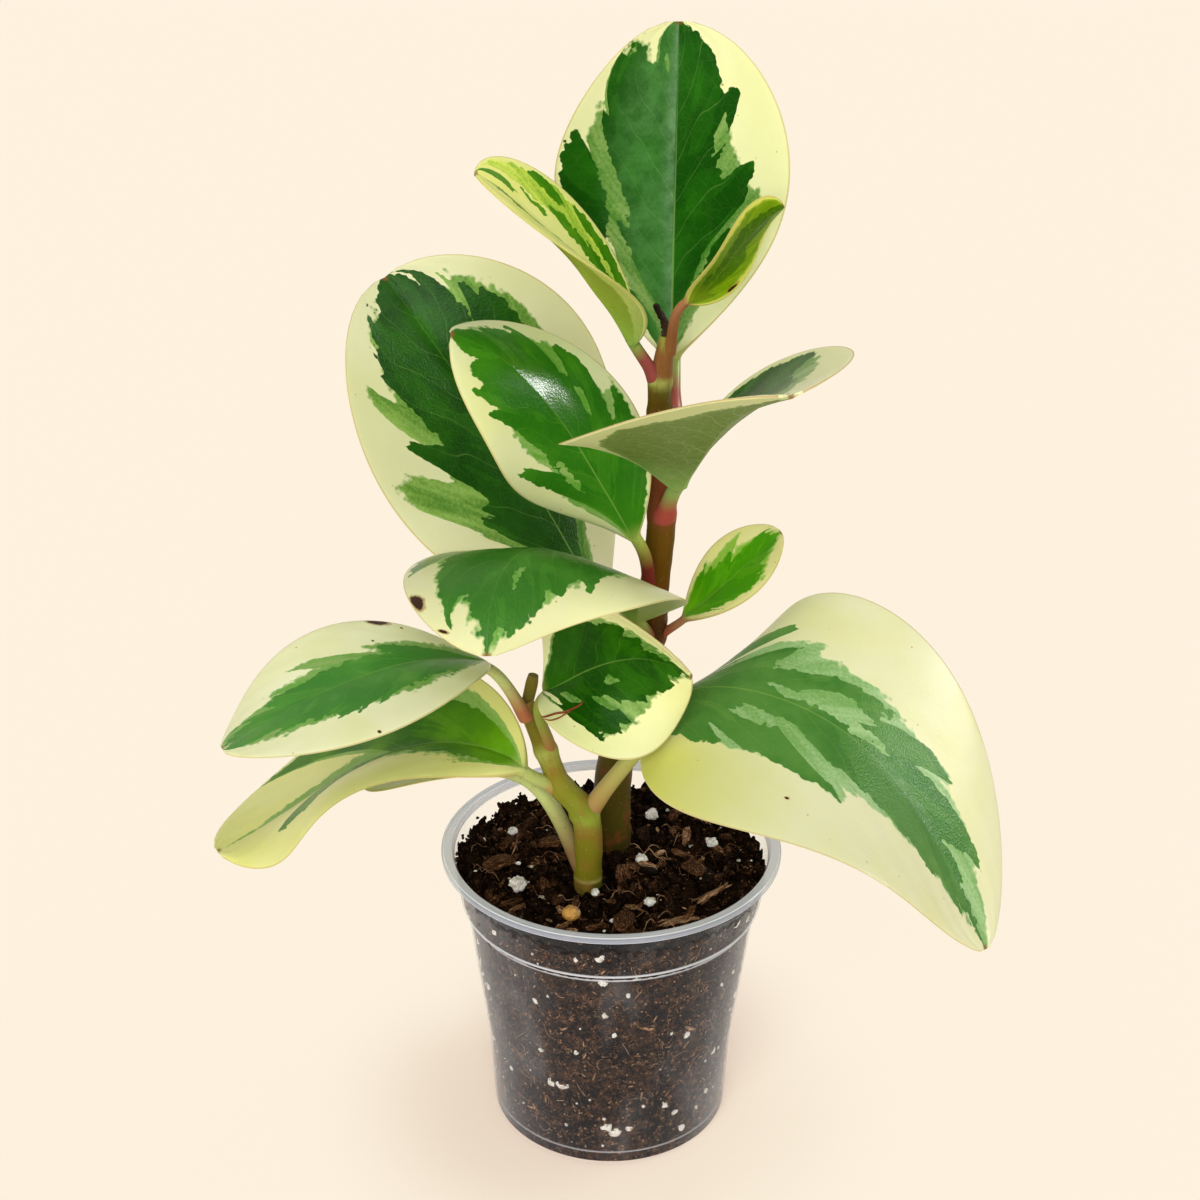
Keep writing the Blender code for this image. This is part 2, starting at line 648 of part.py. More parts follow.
def main():
    """Build the plant in its pot."""
    clear_scene()
    materials = make_materials()
    cutters = build_stems(materials)
    build_buds(materials, cutters)
    build_leaves(materials, cutters)
    build_pot(materials)
    soil = build_soil(materials, cutters)
    build_loose_pieces(materials, soil)


main()
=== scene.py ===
"""Looks of a variegated baby rubber plant in a clear nursery pot.

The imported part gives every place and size. Each sub-assembly here is a class that models
its own meshes in metres, and each finish is a small class that wires one material.
Leaf shapes are written in millimetres and degrees, as a grower would note them, and the
zones of colour on a leaf in percent of its length and half width.
"""
import json
import logging
import math
from dataclasses import dataclass, field
from enum import Enum
from random import Random
from typing import Callable

import bmesh
import bpy
from mathutils import Matrix, Vector, noise
from mathutils.bvhtree import BVHTree

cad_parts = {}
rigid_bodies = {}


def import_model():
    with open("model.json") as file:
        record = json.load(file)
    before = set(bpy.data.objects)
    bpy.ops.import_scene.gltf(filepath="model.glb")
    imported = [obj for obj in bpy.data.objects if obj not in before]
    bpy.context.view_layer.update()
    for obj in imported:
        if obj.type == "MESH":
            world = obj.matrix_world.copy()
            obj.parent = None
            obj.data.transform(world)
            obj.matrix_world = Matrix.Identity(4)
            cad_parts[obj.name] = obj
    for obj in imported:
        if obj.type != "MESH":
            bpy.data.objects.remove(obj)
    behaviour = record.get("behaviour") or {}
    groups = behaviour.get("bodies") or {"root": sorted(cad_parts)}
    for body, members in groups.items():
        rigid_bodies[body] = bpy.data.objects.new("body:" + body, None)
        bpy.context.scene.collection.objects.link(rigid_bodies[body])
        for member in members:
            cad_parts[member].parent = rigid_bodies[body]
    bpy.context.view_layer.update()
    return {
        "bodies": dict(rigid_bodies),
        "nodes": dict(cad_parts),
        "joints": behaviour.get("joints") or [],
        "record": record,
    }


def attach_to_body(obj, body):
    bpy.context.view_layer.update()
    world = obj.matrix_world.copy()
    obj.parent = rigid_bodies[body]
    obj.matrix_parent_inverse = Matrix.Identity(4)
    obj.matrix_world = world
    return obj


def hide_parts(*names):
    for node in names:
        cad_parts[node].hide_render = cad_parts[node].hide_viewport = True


LOG = logging.getLogger("potted_plant")
MM = 0.001
Colour = tuple[float, float, float]
Pairs = tuple[tuple[float, float], ...]
Three = tuple[float, float, float]
Socket = bpy.types.NodeSocket
Finish = bpy.types.Material
Piece = bpy.types.Object


class Tone(Enum):
    """Which of a leaf's three colours a patch takes."""
    CREAM = "cream"
    PALE = "pale"
    GREEN = "green"


class Side(Enum):
    """Which half of a leaf a mark lies on, seen from above with the tip ahead."""
    LEFT = -1.0
    RIGHT = 1.0


CREAM, PALE, GREEN = Tone
LEFT, RIGHT = Side


# ---- mesh helpers ------------------------------------------------------------------------
def skin_tube(name: str, rows: int, columns: int, place: Callable) -> Piece:
    """Roll a grid into a closed tube, capped at both ends.

    Args:
        name: Name of the new object.
        rows: Steps along the tube.
        columns: Steps round the tube.
        place: Gives the point and the attributes for a share along and a share round.

    Returns:
        The new object, smooth shaded, with one float attribute per value that place gives.
    """
    bm = bmesh.new()
    layers = {key: bm.verts.layers.float.new(key) for key in place(0.0, 0.0)[1]}
    bmesh.ops.create_grid(bm, x_segments=rows, y_segments=columns, size=0.5)
    for vert in bm.verts:
        point, values = place(vert.co.x + 0.5, vert.co.y + 0.5)
        vert.co = point
        for key, layer in layers.items():
            vert[layer] = values[key]
    bmesh.ops.remove_doubles(bm, verts=bm.verts[:], dist=1e-7)
    rims = [edge for edge in bm.edges if edge.is_boundary]
    bmesh.ops.holes_fill(bm, edges=rims, sides=0)
    return finish_mesh(name, bm)


def finish_mesh(name: str, bm: bmesh.types.BMesh, sharp: float = 60.0) -> Piece:
    """Turn a bmesh into a smooth-shaded object that faces outwards.

    Args:
        name: Name of the new object.
        bm: The mesh, in metres. It is freed.
        sharp: Edges that bend more than this many degrees stay sharp.

    Returns:
        The new object, linked to the scene.
    """
    bmesh.ops.recalc_face_normals(bm, faces=bm.faces[:])
    mesh = bpy.data.meshes.new(name)
    bm.to_mesh(mesh)
    bm.free()
    mesh.shade_smooth()
    mesh.set_sharp_from_angle(angle=math.radians(sharp))
    item = bpy.data.objects.new(name, mesh)
    bpy.context.scene.collection.objects.link(item)
    return item


def attach(item: Piece, slot: str, *nodes: str) -> None:
    """Tie a piece to the part's body and hide the CAD nodes that it replaces.

    Args:
        item: The new piece.
        slot: The record's material slot; not used.
        nodes: The CAD nodes that the piece stands for.
    """
    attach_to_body(item, "root")
    if nodes:
        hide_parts(*nodes)


def turned(section: list[tuple[float, float]], sides: int, merge: float) -> bmesh.types.BMesh:
    """Turn a section round the upright axis.

    Args:
        section: Its (radius, height) points in order.
        sides: Steps round the full turn.
        merge: Points nearer to each other than this are merged.

    Returns:
        The turned mesh.
    """
    bm = bmesh.new()
    verts = [bm.verts.new((radius, 0.0, height)) for radius, height in section]
    edges = [bm.edges.new(pair) for pair in zip(verts, verts[1:])]
    bmesh.ops.spin(bm, geom=verts + edges, cent=(0, 0, 0), axis=(0, 0, 1), angle=math.tau,
                   steps=sides, use_merge=True)
    bmesh.ops.remove_doubles(bm, verts=bm.verts[:], dist=merge)
    return bm


def through(points: list[Vector], share: float) -> Vector:
    """A point on the smooth line through the given points, share 0 to 1 along it.

    Args:
        points: The points, in order.
        share: How far along, from 0 to 1.

    Returns:
        The point.
    """
    spans = len(points) - 1
    span = min(int(share * spans), spans - 1)
    t = share * spans - span
    before = points[max(span - 1, 0)]
    start, end = points[span], points[span + 1]
    after = points[min(span + 2, spans)]
    return 0.5 * (
        2.0 * start + (end - before) * t
        + (2.0 * before - 5.0 * start + 4.0 * end - after) * t ** 2
        + (3.0 * start - before - 3.0 * end + after) * t ** 3
    )


# ---- material wiring ---------------------------------------------------------------------
class Wiring:
    """Adds and joins the shader nodes of one material."""

    def __init__(self, name: str) -> None:
        """Start a material with an empty Principled shader.

        Args:
            name: Name of the new material.
        """
        self.material = bpy.data.materials.new(name)
        self.material.use_nodes = True
        self.tree = self.material.node_tree
        self.shader = self.tree.nodes["Principled BSDF"]
        self.coords = self.tree.nodes.new("ShaderNodeTexCoord").outputs["Object"]

    def put(self, value: object, socket: Socket) -> None:
        """Join a socket to another, or set its value.

        Args:
            value: A socket or a constant.
            socket: The input that takes it.
        """
        if isinstance(value, Socket):
            self.tree.links.new(value, socket)
        else:
            socket.default_value = value

    def add(self, kind: str, *values: object, **named: object) -> bpy.types.ShaderNode:
        """Add a node and fill it in.

        Args:
            kind: The node's type, without its prefix.
            values: Its first inputs, in order.
            named: Its settings, and other inputs by their names with underscores for spaces.

        Returns:
            The node.
        """
        node = self.tree.nodes.new("ShaderNode" + kind)
        for key, value in named.items():
            if key[0].islower():
                setattr(node, key, value)
            else:
                self.put(value, node.inputs[key.replace("_", " ")])
        for value, socket in zip(values, node.inputs):
            self.put(value, socket)
        return node

    def math(self, operation: str, *values: object, clamp: bool = False) -> Socket:
        """Add a Math node and return its result."""
        return self.add("Math", *values, operation=operation, use_clamp=clamp).outputs[0]

    def times(self, value: object, factor: object) -> Socket:
        """The product of two values."""
        return self.math("MULTIPLY", value, factor)

    def plus(self, value: object, other: object, clamp: bool = False) -> Socket:
        """The sum of two values, held between 0 and 1 if clamp is set."""
        return self.math("ADD", value, other, clamp=clamp)

    def minus(self, value: object, other: object, clamp: bool = False) -> Socket:
        """The difference of two values, held between 0 and 1 if clamp is set."""
        return self.math("SUBTRACT", value, other, clamp=clamp)

    def scaled(self, value: object, factor: object, offset: object, clamp: bool = False) -> Socket:
        """A value times a factor plus an offset, held between 0 and 1 if clamp is set."""
        return self.math("MULTIPLY_ADD", value, factor, offset, clamp=clamp)

    def length(self, x: object, y: object) -> Socket:
        """The length of a run of x and y."""
        return self.math("SQRT", self.plus(self.math("POWER", x, 2.0), self.math("POWER", y, 2.0)))

    def attribute(self, name: str, output: str = "Fac") -> Socket:
        """Read one of the mesh's own attributes."""
        return self.add("Attribute", attribute_name=name).outputs[output]

    def stretch(self, vector: object, scale: Three) -> Socket:
        """Multiply a vector, axis by axis."""
        return self.add("VectorMath", vector, scale, operation="MULTIPLY").outputs[0]

    def split(self, vector: object) -> list[Socket]:
        """The three parts of a vector."""
        return list(self.add("SeparateXYZ", vector).outputs)

    def pick(self, vector: object, scale: float) -> Socket:
        """A random number for each cell of a Voronoi pattern."""
        return self.add("SeparateColor", self.cells(vector, scale, "Color")).outputs[0]

    def facing(self) -> Socket:
        """The gloss weight that grows towards an edge seen side on."""
        return self.add("LayerWeight", Blend=0.5).outputs["Facing"]

    def vector(self, x: object, y: object, z: object) -> Socket:
        """Combine three values into a vector."""
        return self.add("CombineXYZ", x, y, z).outputs[0]

    def noise(self, vector: object, scale: float, detail: float = 2.0, rough: float = 0.5,
              warp: float = 0.0) -> Socket:
        """Add a noise texture and return its value, about 0.5."""
        return self.add("TexNoise", Vector=vector, Scale=scale, Detail=detail, Roughness=rough,
                        Distortion=warp).outputs["Fac"]

    def cells(self, vector: object, scale: float, output: str = "Distance",
              feature: str = "F1") -> Socket:
        """Add a Voronoi texture and return one of its outputs."""
        return self.add("TexVoronoi", feature=feature, Vector=vector, Scale=scale).outputs[output]

    def step(self, value: object, low: float, high: float, start: float = 0.0,
             end: float = 1.0) -> Socket:
        """A soft step from start to end as a value goes from low to high."""
        return self.add("MapRange", value, low, high, start, end,
                        interpolation_type="SMOOTHSTEP").outputs["Result"]

    def blend(self, share: object, first: object, second: object, mode: str = "MIX") -> Socket:
        """Mix two colours by a share.

        Args:
            share: The second colour's share.
            first: A colour.
            second: Another.
            mode: How they mix.

        Returns:
            The mixed colour.
        """
        node = self.add("Mix", data_type="RGBA", blend_type=mode, Factor=share)
        for value, key in ((first, "A"), (second, "B")):
            socket = next(s for s in node.inputs if s.name == key and s.type == "RGBA")
            self.put((*value, 1.0) if isinstance(value, tuple) else value, socket)
        return next(s for s in node.outputs if s.type == "RGBA")

    def ramp(self, value: object, stops: tuple) -> Socket:
        """A colour ramp through (place, colour) stops.

        Args:
            value: Where to read the ramp.
            stops: Its stops, from low to high.

        Returns:
            The colour there.
        """
        node = self.add("ValToRGB", Fac=value)
        elements = node.color_ramp.elements
        while len(elements) < len(stops):
            elements.new(0.5)
        for element, (place, colour) in zip(elements, stops):
            element.position = place
            element.color = (*colour, 1.0)
        return node.outputs["Color"]

    def profile(self, value: object, pairs: Pairs, low: float, high: float) -> Socket:
        """A straight-sided profile through (place, height) pairs in percent, from low to high.

        Args:
            value: Where to read the profile.
            pairs: Its points.
            low: The least place.
            high: The greatest.

        Returns:
            The height there.
        """
        span = self.add("MapRange", Value=value, From_Min=low, From_Max=high)
        node = self.add("FloatCurve", Factor=1.0, Value=span.outputs["Result"])
        node.mapping.use_clip = False
        curve = node.mapping.curves[0]
        spots = [((place / 100.0 - low) / (high - low), height / 100.0) for place, height in pairs]
        curve.points[0].location = (0.0, spots[0][1])
        curve.points[1].location = (1.0, spots[-1][1])
        for spot in spots:
            curve.points.new(*spot)
        for point in curve.points:
            point.handle_type = "VECTOR"
        node.mapping.update()
        return node.outputs["Value"]

    def bump(self, height: object, distance: float, strength: float = 1.0,
             after: object = (0.0, 0.0, 0.0)) -> Socket:
        """Add a bump of a given depth in metres, over another's normal, and return its normal."""
        return self.add("Bump", Strength=strength, Distance=distance, Height=height,
                        Normal=after).outputs["Normal"]

    def dress(self, **values: object) -> Finish:
        """Set or join the Principled shader's sockets, named with underscores for spaces.

        Args:
            values: Constants or sockets.

        Returns:
            The finished material.
        """
        for key, value in values.items():
            if isinstance(value, tuple) and len(value) == 3 and "Radius" not in key:
                value = (*value, 1.0)
            self.put(value, self.shader.inputs[key.replace("_", " ")])
        return self.material


# ---- leaves: shape -----------------------------------------------------------------------
def at_station(values: Three, share: float) -> float:
    """A value given at base, middle and tip, read on the curve through all three.

    Args:
        values: The values there.
        share: Share of the midrib.

    Returns:
        The value.
    """
    base, middle, tip = values
    return (
        base * (1.0 - share) * (1.0 - 2.0 * share)
        + middle * 4.0 * share * (1.0 - share)
        + tip * share * (2.0 * share - 1.0)
    )


@dataclass(frozen=True)
class LeafForm:
    """One leaf's shape, in millimetres and degrees, with its stalk."""
    foot: Three
    base: Three
    length: float
    width: float
    taper: tuple[float, float]
    heading: Three
    pitch: Three
    roll: Three
    fold_left: Three
    fold_right: Three
    curl_left: Three = (0, 0, 0)
    curl_right: Three = (0, 0, 0)
    stalk_radius: float = 2.2
    thickness: float = 1.1
    rows: int = 96
    columns: int = 60
    stalk_rows: float = 0.22
    flare: float = 0.18

    def axes(self, share: float) -> tuple[Vector, Vector, Vector]:
        """Directions along the midrib, to its right, and out of the upper face.

        Args:
            share: Share of the midrib.

        Returns:
            The three directions.
        """
        heading = math.radians(at_station(self.heading, share))
        pitch = math.radians(at_station(self.pitch, share))
        roll = math.radians(at_station(self.roll, share))
        along = Vector((
            math.cos(pitch) * math.cos(heading), math.cos(pitch) * math.sin(heading),
            math.sin(pitch),
        ))
        level_right = Vector((math.sin(heading), -math.cos(heading), 0.0))
        level_face = level_right.cross(along)
        right = level_right * math.cos(roll) - level_face * math.sin(roll)
        face = level_face * math.cos(roll) + level_right * math.sin(roll)
        return along, right, face

    def midrib(self, steps: int = 200) -> list[Vector]:
        """Points along the midrib from base to tip, evenly spaced.

        Args:
            steps: How many spans it has.

        Returns:
            The points.
        """
        points = [Vector(self.base)]
        for step in range(steps):
            along, _, _ = self.axes((step + 0.5) / steps)
            points.append(points[-1] + along * self.length / steps)
        return points

    def half_width(self, share: float) -> float:
        """Half the blade's width, with the stalk's own width kept at its base.

        Args:
            share: Share of the midrib.

        Returns:
            The half width.
        """
        rise, fall = self.taper
        widest = rise / (rise + fall)
        peak = widest ** rise * (1.0 - widest) ** fall
        blade = 0.5 * self.width * share ** rise * (1.0 - share) ** fall / peak
        stalk = 0.8 * self.stalk_radius * (1.0 - share)
        return (blade ** 3 + stalk ** 3) ** (1.0 / 3.0)

    def across(self, share: float, side: float, out: float) -> tuple[float, float, float]:
        """Sideways and upward run from the midrib, in half widths, and the slope there.

        Args:
            share: Share of the midrib.
            side: Below 0 on the left.
            out: Share of the half width.

        Returns:
            The two runs, and the slope in radians.
        """
        if side > 0:
            fold, curl = self.fold_right, self.curl_right
        else:
            fold, curl = self.fold_left, self.curl_left
        start = math.radians(at_station(fold, share))
        bend = math.radians(at_station(curl, share)) * out
        if abs(bend) < 1e-4:
            return math.cos(start) * out, math.sin(start) * out, start
        run = out * (math.sin(start + bend) - math.sin(start)) / bend
        rise = out * (math.cos(start) - math.cos(start + bend)) / bend
        return run, rise, start + bend

    def blade_point(self, share: float, out: float, upper: bool, centre: Vector) -> Vector:
        """A point of the blade's skin: out is -1 at the left margin, +1 at the right.

        Args:
            share: Share of the midrib.
            out: Share of the half width.
            upper: Whether it is on the upper face.
            centre: The midrib's point there.

        Returns:
            The point.
        """
        side = 1.0 if out >= 0.0 else -1.0
        size = abs(out)
        width = self.half_width(share)
        _, right, face = self.axes(share)
        run, rise, slope = self.across(share, side, size)
        point = centre + right * run * width * side + face * rise * width
        normal = face * math.cos(slope) - right * math.sin(slope) * side
        fade = math.exp(-share * 14.0)
        flat = 0.5 * self.thickness * (1.0 - 0.35 * share) * min(1.0, width / 3.0)
        depth = flat * (1.0 - size ** 8) ** 0.5 + 0.75 * self.stalk_radius * fade * (1.0 - size ** 2) ** 0.5
        swell = (1.0 - size ** 2) * min(1.0, width / 10.0) * (1.0 - fade)
        ripple = 0.35 * noise.noise(Vector((share * 5.0, out * 1.8, self.length)))
        quilt = 0.1 * math.sin(math.tau * 7.0 * (share - 0.5 * size)) * min(1.0, size * 3.0)
        groove = 0.3 * math.exp(-(out * width / 0.8) ** 2) * (1.0 - share) * (1.0 - fade)
        rib = 0.7 * math.exp(-(out * width / 1.1) ** 2) * (1.0 - 0.8 * share) * (1.0 - fade)
        offset = swell * (ripple + quilt)
        return point + normal * (offset + (depth - groove if upper else -depth - rib))

    def stalk_frame(self, share: float) -> tuple[Vector, Vector, Vector]:
        """The stalk's centre and its sideways and upward directions at a share of it.

        Args:
            share: Share of the stalk.

        Returns:
            The centre and the two directions.
        """
        along, right, _ = self.axes(0.0)
        base, foot = Vector(self.base), Vector(self.foot)
        reach = (base - foot).length
        leave = ((base - foot).normalized() + Vector((0.0, 0.0, 0.25))).normalized()
        near = foot + leave * reach * 0.35
        far = base - along * reach * 0.3
        t, u = share, 1.0 - share
        centre = foot * u ** 3 + near * 3 * u * u * t + far * 3 * u * t * t + base * t ** 3
        ahead = (near - foot) * u * u + (far - near) * 2 * u * t + (base - far) * t * t
        ahead = ahead.normalized()
        side = (right - ahead * right.dot(ahead)).normalized()
        return centre, side, side.cross(ahead)

    def build(self, name: str) -> Piece:
        """Model the leaf and its stalk as one closed skin.

        Args:
            name: Name of the new object.

        Returns:
            The object, with attributes along, across and facing for its finish.
        """
        midrib = self.midrib()

        def place(row: float, turn: float) -> tuple[Vector, dict]:
            """Map a grid place to the leaf: first half of the turn is the upper face.

            Args:
                row: Share of the way along.
                turn: Share of the way round.

            Returns:
                The point and its attributes.
            """
            upper = turn <= 0.5
            round_out = math.cos(math.tau * turn)
            out = -round_out
            facing = 1.0 if upper else -1.0
            if row < self.stalk_rows:
                share = row / self.stalk_rows
                centre, side, face = self.stalk_frame(share)
                flare = self.flare * math.exp(-(share / 0.22) ** 2)
                radius = self.stalk_radius * (1.0 - 0.15 * share + flare)
                rise = math.sin(math.tau * turn)
                point = centre + side * radius * out + face * radius * 0.85 * rise
                return point * MM, {
                    "along": share - 1.0, "across": out, "facing": facing, "half": radius}
            share = (row - self.stalk_rows) / (1.0 - self.stalk_rows)
            share = 0.004 + 0.992 * share ** 1.15
            spot = share * (len(midrib) - 1)
            index = min(int(spot), len(midrib) - 2)
            centre = midrib[index].lerp(midrib[index + 1], spot - index)
            point = self.blade_point(share, out, upper, centre)
            half = self.half_width(share)
            return point * MM, {"along": share, "across": out, "facing": facing, "half": half}

        return skin_tube(name, self.rows, self.columns, place)


# ---- leaves: finish ----------------------------------------------------------------------
@dataclass(frozen=True)
class Patch:
    """A patch that lies along the side veins, in percent as a zone's profile is."""
    side: Side
    tone: Tone
    veins: tuple[float, float]      # between these vein numbers
    reach: tuple[float, float]      # from and to this share of the half width


@dataclass(frozen=True)
class Scar:
    """A brown dry spot."""
    along: float
    across: float
    size: tuple[float, float]


class LeafWiring(Wiring):
    """The nodes of a leaf's material, with the shaded point's place on the leaf.

    along is a share of the midrib, below 0 on the stalk. across is a share of the half
    width, below 0 on the left, and out is the same without its sign. half is half the
    width there, in millimetres, and vein is where on the midrib the side vein starts.
    right and under are 1 on the right half and on the underside, and side_seed is a
    number for each half of each leaf.
    """

    def __init__(self, name: str, slant: float, seed: float) -> None:
        """Start the material and read the mesh's attributes.

        Args:
            name: Name of the new material.
            slant: How far along the midrib a side vein runs on its way to the margin.
            seed: Sets this leaf's pattern apart from the others'.
        """
        super().__init__(name)
        self.along = self.attribute("along")
        self.across = self.attribute("across")
        self.half = self.attribute("half")
        self.out = self.math("ABSOLUTE", self.across)
        self.right = self.math("GREATER_THAN", self.across, 0.0)
        self.vein = self.minus(self.along, self.times(self.out, slant))
        self.side_seed = self.scaled(self.right, 3.7, seed)
        self.under = self.step(self.attribute("facing"), 0.1, -0.1)


@dataclass(frozen=True)
class LeafFinish:
    """One leaf's colouring: how far its green and pale zones reach from the midrib.

    A place on a leaf has a vein number: the share of the midrib at which the side vein
    through it starts. The zones are profiles of (vein number, share of the half width),
    both in percent.
    """
    green_left: Pairs
    green_right: Pairs
    pale_left: Pairs
    pale_right: Pairs
    patches: tuple[Patch, ...] = ()
    scars: tuple[Scar, ...] = ()
    green: Colour = (0.014, 0.088, 0.004)
    green_light: Colour = (0.05, 0.23, 0.01)
    pale: Colour = (0.3, 0.47, 0.13)
    vein_colour: Colour = (0.24, 0.42, 0.07)
    edge: Colour = (0.56, 0.42, 0.14)
    rib: float = 0.24
    cream: Colour = (0.85, 0.86, 0.47)
    cream_deep: Colour = (0.76, 0.78, 0.3)
    fleck: Colour = (0.55, 0.27, 0.07)
    under: Colour = (0.2, 0.27, 0.06)
    under_share: float = 0.6
    under_base: Colour = (0.26, 0.42, 0.06)
    rim: float = 0.35
    gloss: float = 0.08
    wax: float = 0.0
    # Painted reflection: the next three fields paint a sheen of reflected light over the left half's green,
    # with a painted highlight beside the midrib.
    painted_sheen: float = 0.0
    sheen: Colour = (0.12, 0.34, 0.09)
    sheen_bright: Colour = (0.48, 0.66, 0.46)
    base_light: float = 0.3
    # Painted shade: the right half's cream near the base turns this deeper olive, standing in for the shade
    # on that part of the blade.
    base_shade_share: float = 0.0
    base_shade_tone: Colour = (0.6, 0.61, 0.11)
    scar_ring: Colour = (0.33, 0.15, 0.02)
    scar_core: Colour = (0.035, 0.012, 0.004)
    tip: Colour = (0.26, 0.11, 0.03)
    stalk_foot: Colour = (0.3, 0.11, 0.04)
    stalk_end: Colour = (0.36, 0.44, 0.1)
    stalk_turn: float = 0.5
    slant: float = 0.5
    low: float = -0.5

    def material(self, name: str, seed: float) -> Finish:
        """Wire the leaf's material.

        Args:
            name: Name of the new material.
            seed: Sets this leaf's pattern apart from the others'.

        Returns:
            The material, which reads the mesh's along, across, half and facing attributes.
        """
        w = LeafWiring(name, self.slant, seed)
        grain = w.noise(w.coords, 1300.0, 3.0, 0.6)
        streaks = w.noise(w.vector(w.vein, w.times(w.out, 0.14), w.side_seed), 15.0, 2.0, 0.6)
        green, pale = self.zones(w, streaks)
        mottle = w.plus(w.times(streaks, 0.65), w.times(grain, 0.35))
        wash = w.plus(w.step(mottle, 0.36, 0.66, 0.0, 0.75), w.step(w.out, 0.75, 0.1, 0.0, 0.2))
        leaf = w.blend(pale, self.cream_colour(w), w.blend(wash, self.pale, self.green_light))
        # painted reflection: a painted sheen over the left half's green
        leaf = w.blend(green, leaf, self.add_painted_sheen(w, self.green_colour(w, grain)))
        leaf = self.draw_underside(w, leaf, w.math("MAXIMUM", green, pale))
        leaf = self.draw_veins(w, leaf, green)
        leaf = self.draw_scars(w, leaf)
        leaf = self.draw_ends(w, leaf)
        creases = w.scaled(w.cells(w.coords, 1700.0), 0.7, grain)
        relief = w.times(creases, w.scaled(green, 0.75, 0.25))
        wrinkle = w.bump(relief, 0.00018, 0.25 if self.wax else 0.55)
        dents = w.bump(w.noise(w.coords, 190.0, 3.0, 0.55), 0.0004, 0.22, wrinkle)
        return w.dress(
            Base_Color=leaf, Roughness=w.scaled(w.under, 0.2, w.scaled(grain, 0.14, 0.17)),
            Normal=dents, Subsurface_Weight=0.22, Subsurface_Radius=(1.0, 1.0, 0.35),
            Subsurface_Scale=0.0012, Specular_IOR_Level=self.shine(w),
        )

    def shine(self, w: LeafWiring) -> object:
        """The leaf's gloss, with more of it right of the midrib on a waxy leaf.

        Args:
            w: The material's nodes.

        Returns:
            The gloss.
        """
        if not self.wax:
            return self.gloss
        beside = w.times(w.step(w.across, -0.02, 0.03), w.step(w.out, 0.4, 0.16))
        within = w.times(w.step(w.along, 0.36, 0.48), w.step(w.along, 0.86, 0.74))
        return w.scaled(w.times(beside, within), self.wax, self.gloss)

    def zones(self, w: LeafWiring, streaks: object) -> tuple[Socket, Socket]:
        """The shares of the green and the pale zone, with the patches added or cut out.

        Args:
            w: The material's nodes.
            streaks: A noise drawn out along the side veins.

        Returns:
            The green share and the pale share.
        """
        reach = self.torn_reach(w)
        green = self.zone(w, reach, (self.green_left, self.green_right), 0.14)
        pale = self.zone(w, reach, (self.pale_left, self.pale_right), 0.5)
        for patch in self.patches:
            mask = self.patch_mask(w, patch, reach, streaks)
            if patch.tone is GREEN:
                green = w.math("MAXIMUM", green, mask)
            elif patch.tone is PALE:
                pale = w.math("MAXIMUM", pale, mask)
                green = w.minus(green, mask, clamp=True)
            else:
                clear = w.minus(1.0, mask)
                pale, green = w.times(pale, clear), w.times(green, clear)
        return green, pale

    def torn_reach(self, w: LeafWiring) -> Socket:
        """The share of the half width, shifted so that a zone's edge comes out scalloped.

        Args:
            w: The material's nodes.

        Returns:
            The shifted share.
        """
        lobes = w.noise(w.vector(w.vein, w.times(w.out, 0.4), w.side_seed), 16.0, 2.0)
        scallop = w.times(w.minus(w.cells(w.coords, 330.0), 0.45), 1.6)
        crimp = w.times(w.minus(w.cells(w.coords, 720.0), 0.45), 1.25)
        torn = w.math("DIVIDE", w.plus(scallop, crimp), w.math("MAXIMUM", w.half, 13.0))
        return w.plus(w.plus(w.out, w.times(w.minus(lobes, 0.5), 0.12)), torn)

    def zone(self, w: LeafWiring, reach: object, sides: tuple[Pairs, Pairs], soft: float) -> Socket:
        """The share of a colour zone at a place, 1 inside it.

        Args:
            w: The material's nodes.
            reach: The shifted share of the half width.
            sides: The zone's left and right profiles.
            soft: How soft its edge is, in millimetres.

        Returns:
            The share.
        """
        left, right = (w.profile(w.vein, pairs, self.low, 1.0) for pairs in sides)
        limit = w.plus(left, w.times(w.right, w.minus(right, left)))
        return w.step(w.times(w.minus(limit, reach), w.half), -soft, soft)

    def patch_mask(self, w: LeafWiring, patch: Patch, reach: object, streaks: object) -> Socket:
        """The share of one patch at a place.

        Args:
            w: The material's nodes.
            patch: The patch.
            reach: The shifted share of the half width.
            streaks: A noise drawn out along the side veins.

        Returns:
            The share.
        """
        frayed = w.plus(w.vein, w.times(w.minus(streaks, 0.5), 0.06))
        far = []
        for place, span in ((frayed, patch.veins), (reach, patch.reach)):
            low, high = span[0] / 100.0, span[1] / 100.0
            off = w.times(w.minus(place, (low + high) / 2.0), 2.0 / (high - low))
            far.append(w.math("POWER", w.math("ABSOLUTE", off), 2.6))
        on_side = w.math("GREATER_THAN", w.times(w.across, patch.side.value), 0.0)
        return w.times(w.step(w.plus(*far), 1.06, 0.94), on_side)

    def cream_colour(self, w: LeafWiring) -> Socket:
        """The outer cream, clouded with a deeper tone, turned olive near the base of the right half as
        painted shade, and flecked with tiny rusty specks.

        Args:
            w: The material's nodes.

        Returns:
            The colour.
        """
        clouds = w.noise(w.coords, 45.0, 2.0)
        cream = w.blend(w.step(clouds, 0.35, 0.75, 0.0, 0.55), self.cream, self.cream_deep)
        # painted shade: olive cream near the base of the right half
        base = w.times(w.step(w.along, 0.5, 0.05), w.step(w.across, 0.1, 0.7, 0.0, self.base_shade_share))
        cream = w.blend(base, cream, self.base_shade_tone)
        fleck = w.times(w.step(w.cells(w.coords, 240.0), 0.085, 0.045),
                        w.step(w.pick(w.coords, 240.0), 0.66, 0.67))
        return w.blend(w.times(fleck, 0.65), cream, self.fleck)

